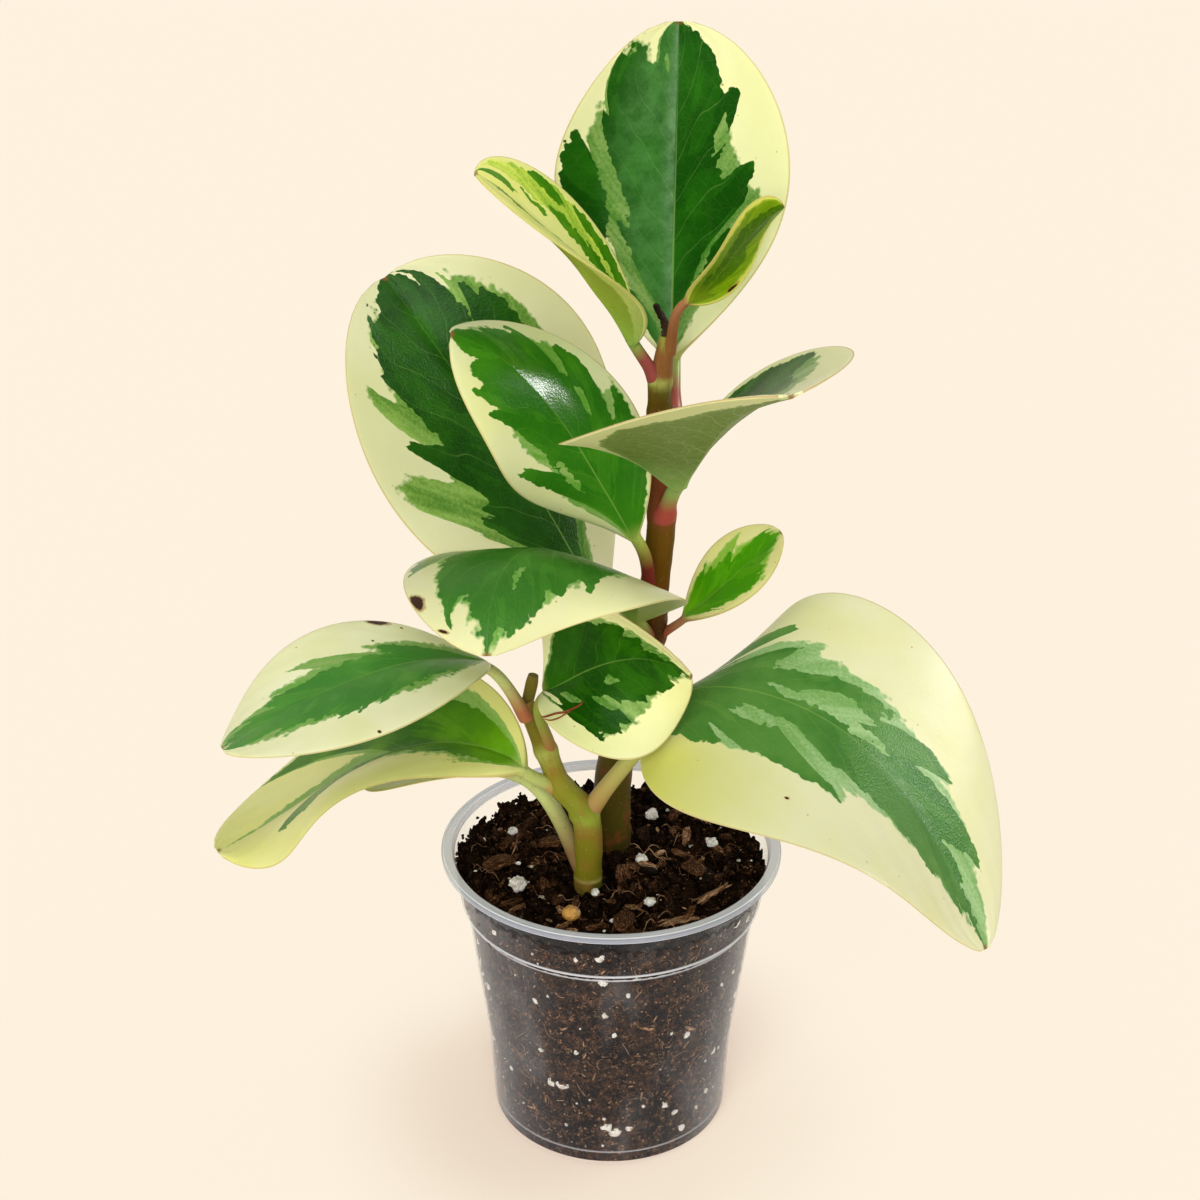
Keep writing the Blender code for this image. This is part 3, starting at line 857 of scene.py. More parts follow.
    def green_colour(self, w: LeafWiring, grain: object) -> Socket:
        """The centre's green: clouded, lighter towards the base, with faint islands along the veins.

        Args:
            w: The material's nodes.
            grain: A fine noise.

        Returns:
            The colour.
        """
        wide = w.noise(w.vector(w.vein, w.times(w.out, 0.25), w.side_seed), 7.0, 3.0)
        clouds = w.noise(w.coords, 60.0, 3.0, 0.6)
        tone = w.plus(w.step(wide, 0.54, 0.56, 0.0, 0.22), w.step(clouds, 0.4, 0.68, 0.0, 0.4))
        tone = w.plus(tone, w.step(w.along, 0.32, 0.0, 0.0, self.base_light))
        tone = w.plus(tone, w.times(w.minus(grain, 0.4), 0.3), clamp=True)
        return w.blend(tone, self.green, self.green_light)

    def add_painted_sheen(self, w: LeafWiring, centre: object) -> Socket:
        """Paint a sheen of reflected light over the left half's green, brightest beside the midrib, where
        it is a painted highlight.

        Args:
            w: The material's nodes.
            centre: The centre's green.

        Returns:
            The colour.
        """
        patchy = w.step(w.noise(w.coords, 260.0, 5.0, 0.7), 0.3, 0.7, 0.35)
        beside = w.times(w.step(w.across, 0.0, -0.02), w.step(w.out, 0.75, 0.3))
        shine = w.blend(w.step(w.out, 0.16, 0.02, 0.0, 0.35), self.sheen, self.sheen_bright)
        return w.blend(w.times(w.times(patchy, self.painted_sheen), beside), centre, shine)

    def draw_underside(self, w: LeafWiring, leaf: object, zone: object) -> Socket:
        """Mute the zones on the underside, and lighten it towards the stalk.

        Args:
            w: The material's nodes.
            leaf: The colour so far.
            zone: The share of green and pale.

        Returns:
            The colour.
        """
        share = w.times(w.times(w.under, self.under_share), w.scaled(zone, 0.55, 0.45))
        leaf = w.blend(share, leaf, self.under)
        glow = w.times(w.under, w.step(w.along, 0.3, 0.02, 0.0, 0.6))
        return w.blend(glow, leaf, self.under_base)

    def draw_veins(self, w: LeafWiring, leaf: object, green: object) -> Socket:
        """Draw the midrib, the side veins and their fine network over a colour.

        Args:
            w: The material's nodes.
            leaf: The colour so far.
            green: The green share.

        Returns:
            The colour.
        """
        sway = w.noise(w.vector(w.vein, w.out, w.side_seed), 3.0, 1.0)
        number = w.scaled(w.vein, 8.0, w.times(sway, 1.2))
        off = w.math("ABSOLUTE", w.minus(w.math("FRACT", number), 0.5))
        line = w.times(w.step(off, 0.018, 0.004), w.step(w.out, 0.85, 0.2))
        net = w.step(w.cells(w.coords, 330.0, "Distance", "DISTANCE_TO_EDGE"), 0.06, 0.01)
        net = w.times(net, w.scaled(w.under, 0.22, 0.12))
        share = w.plus(w.scaled(green, 0.2, 0.06), w.times(w.under, 0.34))
        leaf = w.blend(w.times(w.math("MAXIMUM", line, net), share), leaf, self.vein_colour)
        width = w.step(w.along, 1.0, 0.0, 0.08, self.rib)
        rib = w.step(w.minus(w.times(w.out, w.half), width), 0.12, -0.12)
        return w.blend(w.times(rib, w.step(w.along, 1.0, 0.2, 0.15, 0.55)), leaf, self.vein_colour)

    def draw_scars(self, w: LeafWiring, leaf: object) -> Socket:
        """Draw the brown dry spots over a colour.

        Args:
            w: The material's nodes.
            leaf: The colour so far.

        Returns:
            The colour.
        """
        rough = w.noise(w.coords, 420.0, 2.0)
        for scar in self.scars:
            x = w.math("DIVIDE", w.minus(w.along, scar.along), scar.size[0])
            y = w.math("DIVIDE", w.minus(w.across, scar.across), scar.size[1])
            far = w.plus(w.length(x, y), w.times(w.minus(rough, 0.5), 1.4))
            leaf = w.blend(w.step(far, 1.35, 0.9, 0.0, 0.7), leaf, self.scar_ring)
            leaf = w.blend(w.step(far, 0.95, 0.7), leaf, self.scar_core)
        return leaf

    def draw_ends(self, w: LeafWiring, leaf: object) -> Socket:
        """Draw the cream rim with its thin edge line, the brown tip and the stalk.

        Args:
            w: The material's nodes.
            leaf: The colour so far.

        Returns:
            The colour.
        """
        margin = w.times(w.half, w.minus(1.0, w.out))
        leaf = w.blend(w.step(margin, self.rim + 0.15, self.rim - 0.15, 0.0, 0.9), leaf, self.cream)
        leaf = w.blend(w.step(margin, 0.55, 0.18, 0.0, 0.7), leaf, self.edge)
        tip = w.times(w.step(w.along, 0.982, 0.993), w.step(w.times(w.out, w.half), 1.4, 0.5))
        leaf = w.blend(w.times(tip, 0.8), leaf, self.tip)
        stalk = w.ramp(w.plus(w.along, 1.0), (
            (0.0, self.stalk_foot), (self.stalk_turn - 0.25, self.stalk_foot),
            (self.stalk_turn + 0.25, self.stalk_end), (1.0, self.stalk_end)))
        speck = w.step(w.noise(w.coords, 1000.0, 2.0), 0.6, 0.7, 0.0, 0.35)
        return w.blend(w.step(w.along, 0.07, -0.02), leaf, w.blend(speck, stalk, self.stalk_foot))


@dataclass(frozen=True)
class Leaf:
    """One leaf: its node in the part, its shape and its finish."""
    node: str
    form: LeafForm
    finish: LeafFinish


LEAVES: tuple[Leaf, ...] = (
    Leaf("leaf_crown_large", LeafForm(
        foot=(13.5, 5, 201), base=(14, 15, 210.5), length=81.5, width=58.5, taper=(0.82, 0.53),
        heading=(89, 92, 92), pitch=(66, 96, 83), roll=(-14, -6, 0), fold_left=(-1, 13, 26),
        fold_right=(10, 16, 25), curl_left=(-33, -3, 22), curl_right=(16, 13, 15), stalk_radius=2.6,
    ), LeafFinish(
        green_left=((2, 0), (4, 36), (8, 45), (16.5, 53), (19, 43), (27, 42), (33, 50), (42, 74), (44, 62),
            (45.5, 98), (56, 75), (65, 57), (74, 30), (77, 24), (79, 42), (90, 26), (100, 12)),
        green_right=((-5, 0), (0, 10), (6, 30), (16, 32), (20, 66), (25, 68), (30, 72), (33, 60), (36, 42),
            (42, 36), (47, 45), (50, 64), (54, 60), (58, 50), (70, 52), (74, 46), (82, 34), (90, 26),
            (100, 14)),
        pale_left=((-30, 0), (-20, 62), (10, 66), (24, 66), (30, 80), (40, 78), (43, 72), (45.5, 98),
            (56, 78), (66, 57), (74, 30), (79, 42), (100, 8)),
        pale_right=((-10, 50), (0, 66), (12, 76), (19, 74), (24, 69), (28, 60), (42, 50), (52, 50),
            (56, 52), (70, 40), (100, 5)),
        patches=(
            Patch(LEFT, GREEN, (2, 29), (60, 97)), Patch(LEFT, GREEN, (-26, -8), (28, 72)),
            Patch(RIGHT, GREEN, (-2, 16), (40, 58)), Patch(RIGHT, PALE, (46, 53), (34, 48)),
            Patch(LEFT, PALE, (80, 82.2), (11, 19)),
        ),
        # painted reflection: a sheen painted over the left half's green
        stalk_foot=(0.4, 0.1, 0.07), painted_sheen=0.6, green=(0.006, 0.075, 0.002),
        green_light=(0.03, 0.21, 0.006), rib=0.3, vein_colour=(0.3, 0.5, 0.14), cream=(0.93, 0.94, 0.53),
        cream_deep=(0.88, 0.9, 0.42),
    )),
    Leaf("leaf_crown_left", LeafForm(
        foot=(10, 2, 209.5), base=(4.5, -1, 219.5), length=59.5, width=33.5, taper=(0.65, 0.53),
        heading=(205, 206, 201), pitch=(59, 49, 35), roll=(-7, -17, -20), fold_left=(37, 19, 12),
        fold_right=(35, 20, 13), curl_left=(17, -5, -4), curl_right=(23, 12, 5), stalk_radius=1.9,
        flare=0.35,
    ), LeafFinish(
        green_left=((-40, 30), (0, 60), (20, 55), (40, 40), (60, 30), (100, 0)),
        green_right=((-40, 0), (50, 0), (100, 0)),
        pale_left=((-40, 30), (0, 70), (40, 50), (100, 0)),
        pale_right=((-40, 0), (100, 0)),
        patches=(
            Patch(RIGHT, PALE, (-35, 62), (36, 90)), Patch(RIGHT, GREEN, (-32, 10), (66, 93)),
            Patch(RIGHT, GREEN, (-10, 42), (34, 56)), Patch(RIGHT, GREEN, (48, 60), (26, 38)),
            Patch(RIGHT, GREEN, (20, 36), (66, 92)), Patch(RIGHT, GREEN, (66, 80), (28, 52)),
        ),
        cream=(0.9, 0.9, 0.32), cream_deep=(0.8, 0.83, 0.16), green_light=(0.16, 0.42, 0.01),
        pale=(0.74, 0.86, 0.12), under=(0.42, 0.5, 0.055), under_share=0.85, green=(0.035, 0.2, 0.003),
        stalk_foot=(0.4, 0.085, 0.075), stalk_end=(0.32, 0.46, 0.09), rim=0.9, edge=(0.6, 0.5, 0.1),
        stalk_turn=0.85,
    )),
    Leaf("leaf_crown_right", LeafForm(
        foot=(13, 1, 216.5), base=(16.5, -4, 230.5), length=32.5, width=18, taper=(0.76, 0.5),
        heading=(-13, -6, -3), pitch=(37, 55, 26), roll=(-71, -40, -48), fold_left=(-16, 1, 20),
        fold_right=(-11, -5, 20), curl_left=(-37, -10, 13), curl_right=(-21, -23, 6), stalk_radius=1.3,
        rows=70, columns=40,
    ), LeafFinish(
        green_left=((-50, 30), (-10, 62), (5, 25), (20, 62), (40, 35), (60, 50), (80, 20), (100, 30)),
        green_right=((-50, 50), (-20, 20), (0, 55), (20, 25), (40, 50), (70, 30), (100, 30)),
        pale_left=((-50, 90), (60, 80), (100, 10)),
        pale_right=((-50, 90), (60, 80), (100, 10)),
        scars=(Scar(0.28, -0.86, (0.05, 0.1)),),
        green=(0.012, 0.09, 0.0005), green_light=(0.08, 0.22, 0.001), cream=(0.7, 0.74, 0.12),
        cream_deep=(0.5, 0.52, 0.03), under=(0.13, 0.24, 0.001), under_share=0.3,
        stalk_foot=(0.33, 0.125, 0.04), stalk_end=(0.42, 0.18, 0.08), stalk_turn=0.6, rim=0.7, gloss=0.04,
        under_base=(0.3, 0.38, 0.02), pale=(0.26, 0.42, 0.004), vein_colour=(0.2, 0.36, 0.006),
    )),
    Leaf("leaf_back_left", LeafForm(
        foot=(8, 7, 129), base=(-3, 19, 140), length=103.5, width=70.5, taper=(0.71, 0.55),
        heading=(173, 167, 146), pitch=(65, 56, 44), roll=(-39, -43, -37), fold_left=(-3, 5, 23),
        fold_right=(-9, 5, 23), curl_left=(-11, -4, 14), curl_right=(-18, -5, 15), stalk_radius=2.4,
    ), LeafFinish(
        green_left=((6, 0), (12, 15), (14, 32), (17, 48), (21, 40), (25, 42), (28, 55), (30, 70), (34, 60),
            (38, 40), (42, 44), (47, 52), (49, 63), (52, 57), (54, 66), (58, 56), (62, 64), (65, 54),
            (70, 46), (80, 40), (90, 34), (100, 20)),
        green_right=((5, 0), (10, 15), (20, 45), (30, 55), (38, 64), (44, 70), (50, 70), (53, 60), (56, 66),
            (58.5, 62), (60, 46), (63, 42), (66, 52), (69, 62), (73, 54), (76, 34), (79, 44), (90, 30),
            (100, 15)),
        pale_left=((-2, 0), (2, 20), (4, 62), (6, 60), (7.5, 88), (13, 90), (20, 75), (25, 50), (34, 55),
            (37, 78), (41, 80), (44, 58), (60, 62), (100, 5)),
        pale_right=((-10, 0), (0, 30), (4, 32), (8, 45), (20, 60), (34, 74), (44, 76), (52, 72), (58, 68),
            (62, 52), (80, 30), (100, 0)),
        patches=(Patch(LEFT, GREEN, (7, 16), (18, 52)), Patch(RIGHT, PALE, (59, 63), (42, 62))),
        green_light=(0.032, 0.17, 0.006), pale=(0.3, 0.48, 0.1), green=(0.008, 0.06, 0.003), gloss=0.1,
        rib=0.2, cream=(0.75, 0.75, 0.45), cream_deep=(0.7, 0.71, 0.36),
    )),
    Leaf("leaf_mid_left", LeafForm(
        foot=(9.5, 4.5, 147.5), base=(5.5, -4.5, 171), length=72.5, width=41, taper=(0.76, 0.52),
        heading=(179, 198, 194), pitch=(56, 57, 22), roll=(-104, -62, -41), fold_left=(-6, 3, -8),
        fold_right=(15, 2, -18), curl_left=(-46, -20, -15), curl_right=(-1, -18, -52), stalk_radius=1.8,
    ), LeafFinish(
        green_left=((-5, 0), (-3, 45), (-2, 70), (5, 84), (11, 76), (15, 42), (25, 46), (35, 60), (39, 75),
            (45, 60), (50, 76), (58, 55), (68, 50), (75, 30), (86, 34), (100, 20)),
        green_right=((-40, 90), (0, 92), (3, 88), (7, 62), (11, 60), (16, 83), (24, 80), (29, 72), (33, 50),
            (38, 44), (40, 80), (50, 62), (58, 57), (70, 42), (80, 36), (90, 34), (100, 20)),
        pale_left=((-14, 0), (-11, 55), (-4, 62), (0, 60), (15, 48), (20, 60), (30, 63), (40, 60),
            (100, 5)),
        pale_right=((-40, 90), (0, 94), (10, 70), (30, 76), (40, 66), (60, 58), (80, 34), (100, 2)),
        patches=(Patch(RIGHT, PALE, (25, 33), (36, 48)), Patch(LEFT, PALE, (8, 24), (30, 40))),
        green_light=(0.085, 0.32, 0.014), stalk_foot=(0.25, 0.035, 0.025), stalk_end=(0.4, 0.5, 0.09),
        # painted shade: this leaf's cream is set darker than the usual cream, partly to stand in for the
        # shade that falls on it
        green=(0.024, 0.16, 0.006), stalk_turn=0.85, gloss=0.02, rib=0.2, wax=0.9, cream=(0.72, 0.75, 0.42),
    )),
    Leaf("leaf_right_cupped", LeafForm(
        foot=(12.5, 3.5, 173.5), base=(15.5, -7, 186), length=77.5, width=70.5, taper=(0.66, 0.55),
        heading=(-74, -76, -48), pitch=(36, 37, 22), roll=(17, 10, -6), fold_left=(42, 18, 7),
        fold_right=(39, 13, 9), curl_left=(21, 9, 6), curl_right=(28, -2, -2), stalk_radius=2.3, flare=0.45,
    ), LeafFinish(
        green_left=((-30, 90), (0, 95), (5, 90), (10, 75), (25, 62), (40, 52), (55, 35), (70, 25), (85, 12),
            (100, 2)),
        green_right=((-20, 50), (0, 60), (20, 75), (35, 70), (45, 50), (60, 30), (80, 20), (100, 2)),
        pale_left=((-30, 90), (0, 95), (20, 80), (50, 50), (100, 2)),
        pale_right=((-20, 60), (0, 70), (30, 80), (50, 50), (100, 2)),
        under=(0.15, 0.21, 0.045), under_share=0.85, stalk_foot=(0.46, 0.085, 0.06),
        stalk_end=(0.34, 0.48, 0.13), stalk_turn=0.52, rim=1.7, edge=(0.5, 0.28, 0.1),
        vein_colour=(0.42, 0.5, 0.24), under_base=(0.3, 0.48, 0.12), gloss=0.05,
    )),
    Leaf("leaf_center_arching", LeafForm(
        foot=(9, 4.5, 140), base=(5.5, -2, 148), length=86.5, width=66, taper=(0.56, 0.64),
        heading=(220, 237, 270), pitch=(47, 25, -73), roll=(7, 2, -14), fold_left=(19, -2, 2),
        fold_right=(13, -11, -2), curl_left=(2, -17, -13), curl_right=(20, -6, -33), stalk_radius=2,
    ), LeafFinish(
        green_left=((-10, 20), (0, 45), (10, 58), (28, 62), (35, 70), (39, 56), (44, 54), (49, 60),
            (53, 46), (56, 46), (60, 56), (64, 48), (68, 52), (74, 40), (85, 15), (100, 2)),
        green_right=((-30, 0), (-20, 75), (-5, 85), (10, 95), (27, 94), (31, 62), (38, 62), (50, 62),
            (57, 60), (62, 68), (66, 35), (80, 20), (100, 5)),
        pale_left=((-10, 30), (10, 66), (40, 60), (70, 45), (100, 5)),
        pale_right=((-30, 0), (-20, 78), (27, 95), (33, 66), (50, 64), (62, 62), (68, 36), (80, 24),
            (100, 5)),
        patches=(Patch(LEFT, PALE, (63, 72), (12, 17)),),
        scars=(Scar(0.855, 0.9, (0.024, 0.09)), Scar(0.937, 0.82, (0.006, 0.09))),
        gloss=0.12, green=(0.036, 0.17, 0.014), green_light=(0.09, 0.33, 0.03), cream=(0.76, 0.76, 0.42),
        cream_deep=(0.71, 0.72, 0.32),
    )),
    Leaf("leaf_low_left", LeafForm(
        foot=(-21.6, -11.2, 124.5), base=(-31, -16, 141), length=74, width=46, taper=(0.77, 0.52),
        heading=(221, 215, 206), pitch=(34, -4, -23), roll=(-2, -5, 11), fold_left=(12, 4, 4),
        fold_right=(11, 7, 1), curl_left=(-2, -11, -8), curl_right=(0, -6, -16), stalk_radius=1.9,
    ), LeafFinish(
        green_left=((-12, 0), (-8, 55), (-5, 60), (0, 48), (10, 47), (20, 48), (25, 56), (27, 46), (31, 57),
            (33, 50), (39, 58), (42, 48), (50, 44), (55, 40), (62, 45), (65, 34), (70, 34), (73, 60),
            (78, 50), (90, 20), (100, 0)),
        green_right=((-8, 0), (5, 30), (10, 38), (20, 40), (23, 30), (30, 27), (40, 30), (50, 28), (60, 33),
            (65, 32), (71, 18), (73, 48), (77, 20), (82, 30), (100, 2)),
        pale_left=((-20, 40), (-8, 62), (40, 50), (80, 50), (100, 0)),
        pale_right=((-15, 50), (0, 45), (20, 45), (25, 32), (33, 55), (38, 60), (41, 40), (50, 42),
            (56, 42), (60, 33), (80, 50), (100, 2)),
        scars=(
            Scar(0.31, 0.95, (0.03, 0.1)), Scar(0.38, 0.52, (0.005, 0.02)),
            Scar(0.25, 0.83, (0.004, 0.03)), Scar(0.595, -0.94, (0.005, 0.02)),
        ),
        green=(0.05, 0.24, 0.026), green_light=(0.13, 0.4, 0.045), stalk_foot=(0.36, 0.13, 0.055),
        # painted light: this leaf's cream is set brighter than the usual cream, partly to make up for the
        # shade on it
        stalk_end=(0.5, 0.55, 0.2), cream=(0.96, 0.97, 0.6), stalk_turn=0.4,
    )),
    Leaf("leaf_low_wavy", LeafForm(
        foot=(-13.5, -11, 103.5), base=(-22, -14, 110.5), length=91, width=60.5, taper=(0.79, 0.57),
        heading=(158, 178, 212), pitch=(34, -30, -11), roll=(-15, 18, 10), fold_left=(3, 9, 5),
        fold_right=(40, 22, 3), curl_left=(1, -31, -35), curl_right=(31, 15, -7), stalk_radius=2,
    ), LeafFinish(
        green_left=((-18, 0), (-15, 50), (-5, 45), (0, 42), (10, 38), (20, 30), (30, 20), (38, 2),
            (44, -25), (100, -30)),
        green_right=((-30, 0), (-20, 40), (-10, 60), (0, 62), (10, 75), (20, 92), (35, 96), (40, 10),
            (45, -20), (100, -30)),
        pale_left=((-25, 30), (-15, 65), (-5, 50), (20, 35), (40, 10), (100, 0)),
        pale_right=((-30, 30), (-20, 80), (0, 85), (35, 98), (42, 20), (100, 0)),
        patches=(Patch(LEFT, GREEN, (27, 55), (6, 60)),),
        cream=(0.78, 0.78, 0.3), cream_deep=(0.66, 0.67, 0.16), green_light=(0.14, 0.36, 0.006),
        stalk_foot=(0.46, 0.12, 0.03), stalk_end=(0.4, 0.46, 0.14), green=(0.025, 0.14, 0.002),
        # some painted shade, olive, on the cream near the base
        stalk_turn=0.28, base_light=0.75, base_shade_share=0.35,
    )),
    Leaf("leaf_low_right", LeafForm(
        foot=(-6.3, -12, 96.5), base=(12.5, -12.5, 126), length=120, width=84, taper=(0.45, 0.64),
        heading=(-52, -16, -59), pitch=(63, -37, -52), roll=(2, 9, -17), fold_left=(-9, 11, 5),
        fold_right=(-20, -1, 11), curl_left=(-26, 2, -27), curl_right=(-18, 0, 5), stalk_radius=2.5,
        rows=120, columns=72,
    ), LeafFinish(
        green_left=((-12, 0), (-10, 60), (-5, 68), (-1.5, 62), (0, 12), (2, 40), (3.5, 22), (5, 30),
            (7, 46), (9, 48), (12, 34), (17, 24), (22, 28), (28, 38), (34, 36), (39, 28), (41, 42),
            (48, 44), (51, 24), (55, 32), (60, 42), (65, 46), (68, 26), (73, 10), (80, 8), (85, 5),
            (100, 2)),
        green_right=((-14, 0), (-12, 45), (-5, 50), (2, 46), (4.5, 34), (7, 46), (12, 47), (20, 52),
            (25.5, 56), (28, 30), (35, 30), (45, 36), (55, 36), (60, 38), (65, 30), (75, 32), (78, 20),
            (90, 15), (100, 5)),
        pale_left=((-13, 0), (-10, 60), (-2, 64), (0, 20), (2, 48), (5, 50), (9, 52), (14, 44), (22, 40),
            (30, 44), (38, 38), (46, 47), (50, 36), (60, 42), (70, 32), (80, 35), (86, 30), (100, 10)),
        pale_right=((-14, 20), (0, 47), (6, 46), (14, 48), (25, 56), (30, 42), (50, 38), (70, 34),
            (100, 5)),
        patches=(
            Patch(RIGHT, PALE, (14, 31), (15, 23)), Patch(RIGHT, PALE, (23.5, 31), (18, 44)),
            Patch(LEFT, PALE, (24, 52), (4.5, 12)), Patch(LEFT, PALE, (30, 42), (10, 22)),
        ),
        scars=(Scar(0.42, 0.69, (0.006, 0.012)),),
        green=(0.055, 0.2, 0.026), green_light=(0.16, 0.36, 0.07), cream=(0.82, 0.81, 0.5),
        cream_deep=(0.76, 0.75, 0.3), stalk_foot=(0.36, 0.2, 0.07), stalk_end=(0.45, 0.46, 0.13),
        # full painted shade, olive, on the cream near the base
        gloss=0.04, stalk_turn=0.3, pale=(0.44, 0.64, 0.3), base_shade_share=1,
    )),
    Leaf("leaf_low_center", LeafForm(
        foot=(-15.7, -10.5, 114.5), base=(-16, -22.5, 137), length=46.5, width=47.5, taper=(0.57, 0.53),
        heading=(-24, -32, -44), pitch=(43, 26, -15), roll=(32, 84, 111), fold_left=(16, 20, 12),
        fold_right=(25, 11, 4), curl_left=(-6, 14, 14), curl_right=(21, -7, -20), stalk_radius=1.7,
    ), LeafFinish(
        green_left=((-30, 40), (-10, 55), (0, 65), (10, 65), (20, 58), (30, 52), (38, 56), (44, 60),
            (48, 35), (55, 40), (65, 20), (75, 15), (85, 10), (100, 0)),
        green_right=((-15, 20), (-10, 68), (-5, 82), (0, 74), (10, 75), (15, 62), (21, 66), (24, 45),
            (35, 44), (42, 46), (50, 42), (60, 42), (69, 38), (75, 20), (85, 15), (100, 0)),
        pale_left=((-30, 50), (0, 70), (40, 62), (80, 20), (100, 0)),
        pale_right=((-20, 40), (0, 78), (20, 68), (50, 46), (80, 25), (100, 0)),
        patches=(
            Patch(RIGHT, PALE, (17, 27), (34, 48)), Patch(RIGHT, PALE, (0, 9), (26, 44)),
            Patch(RIGHT, PALE, (33, 42), (15, 24)), Patch(RIGHT, CREAM, (-12, -6), (12, 50)),
        ),
        green=(0.006, 0.058, 0.0008), green_light=(0.03, 0.165, 0.002), stalk_foot=(0.34, 0.12, 0.05),
        stalk_end=(0.24, 0.28, 0.05), stalk_turn=0.25, base_light=0.45, gloss=0.05,
        vein_colour=(0.18, 0.34, 0.05),
    )),
    Leaf("leaf_small_right", LeafForm(
        foot=(11.5, 6, 138.5), base=(18, 4, 145), length=33.5, width=22, taper=(0.75, 0.52),
        heading=(2, 7, 5), pitch=(43, 43, 46), roll=(18, 23, 15), fold_left=(12, 13, 7),
        fold_right=(13, 11, 8), curl_left=(0, 1, -7), curl_right=(0, -2, -4), stalk_radius=1.3, rows=70,
        columns=40,
    ), LeafFinish(
        green_left=((-20, 50), (-12, 80), (0, 78), (2, 60), (10, 62), (15, 50), (25, 50), (33, 55),
            (38, 50), (40, 35), (55, 40), (60, 50), (63, 68), (65, 50), (70, 45), (80, 30), (100, 5)),
        green_right=((-30, 40), (-20, 70), (-12, 85), (-10, 72), (10, 74), (30, 76), (36, 72), (40, 58),
            (48, 55), (55, 40), (65, 40), (70, 30), (80, 25), (100, 0)),
        pale_left=((-30, 70), (0, 82), (10, 66), (27, 78), (34, 80), (38, 50), (70, 50), (100, 5)),
        pale_right=((-30, 70), (30, 80), (50, 60), (80, 30), (100, 0)),
        green=(0.062, 0.31, 0.002), green_light=(0.18, 0.52, 0.008), pale=(0.34, 0.55, 0.09),
        cream=(0.82, 0.8, 0.34), cream_deep=(0.72, 0.7, 0.18), stalk_foot=(0.42, 0.08, 0.04),
        stalk_end=(0.45, 0.22, 0.1), base_light=0.6,
    )),
    Leaf("leaf_low_hidden", LeafForm(
        foot=(-7, -11.5, 80), base=(-24, -6, 105), length=44, width=28, taper=(0.75, 0.53),
        heading=(165, 165, 170), pitch=(15, -15, -20), roll=(0, 0, 0), fold_left=(15, 10, 5),
        fold_right=(15, 10, 5), stalk_radius=2.6,
    ), LeafFinish(
        green_left=((-20, 40), (10, 60), (40, 50), (70, 30), (100, 0)),
        green_right=((-20, 40), (10, 60), (30, 40), (60, 40), (100, 0)),
        pale_left=((-20, 50), (30, 70), (100, 0)),
        pale_right=((-20, 50), (30, 60), (100, 0)),
        stalk_foot=(0.2, 0.12, 0.045), stalk_end=(0.46, 0.52, 0.18), stalk_turn=0.45,
    )),
)


class Foliage:
    """All the leaves."""

    def build(self) -> list[Piece]:
        """Model, dress and attach every leaf.

        Returns:
            The leaf objects.
        """
        made = []
        for seed, leaf in enumerate(LEAVES, start=1):
            item = leaf.form.build(leaf.node + "_blade")
            item.data.materials.append(leaf.finish.material(leaf.node + "_skin", float(seed)))
            attach(item, "variegated_leaf", leaf.node)
            made.append(item)
        return made


# ---- stems and buds ----------------------------------------------------------------------
@dataclass(frozen=True)
class StemFinish:
    """Colours up a stem, with a red blush and streaks."""
    stops: tuple
    blush: Colour = (0.22, 0.06, 0.02)
    streak: Colour = (0.1, 0.06, 0.02)
    dot: Colour = (0.46, 0.42, 0.2)

    def material(self, name: str) -> Finish:
        """Wire the stem's material, which reads its along and node attributes.

        Args:
            name: Name of the new material.

        Returns:
            The material.
        """
        w = Wiring(name)
        along = w.attribute("along")
        base = w.ramp(along, self.stops)
        lengthwise = w.vector(w.times(along, 0.05), w.attribute("turn_x"), w.attribute("turn_y"))
        fibre = w.noise(lengthwise, 14.0, 3.0, 0.6)
        base = w.blend(w.step(fibre, 0.52, 0.75, 0.0, 0.55), base, self.streak)
        spots = w.step(w.noise(w.coords, 700.0, 2.0), 0.6, 0.75, 0.0, 0.35)
        blots = w.step(w.noise(w.coords, 170.0, 3.0, 0.6), 0.48, 0.7, 0.0, 0.55)
        base = w.blend(blots, w.blend(spots, base, self.blush), self.blush)
        dots = w.step(w.cells(w.coords, 560.0), 0.16, 0.07, 0.0, 0.22)
        base = w.blend(dots, base, self.dot)
        rough = w.noise(w.coords, 1100.0, 3.0, 0.6)
        skin = w.bump(rough, 0.0001, 0.5)
        ridges = w.bump(fibre, 0.0005, 0.35, skin)
        return w.dress(
            Base_Color=base, Roughness=w.scaled(rough, 0.2, 0.3), Normal=ridges,
            Specular_IOR_Level=0.06, Subsurface_Weight=0.15, Subsurface_Radius=(1.0, 0.8, 0.3),
            Subsurface_Scale=0.0015,
        )


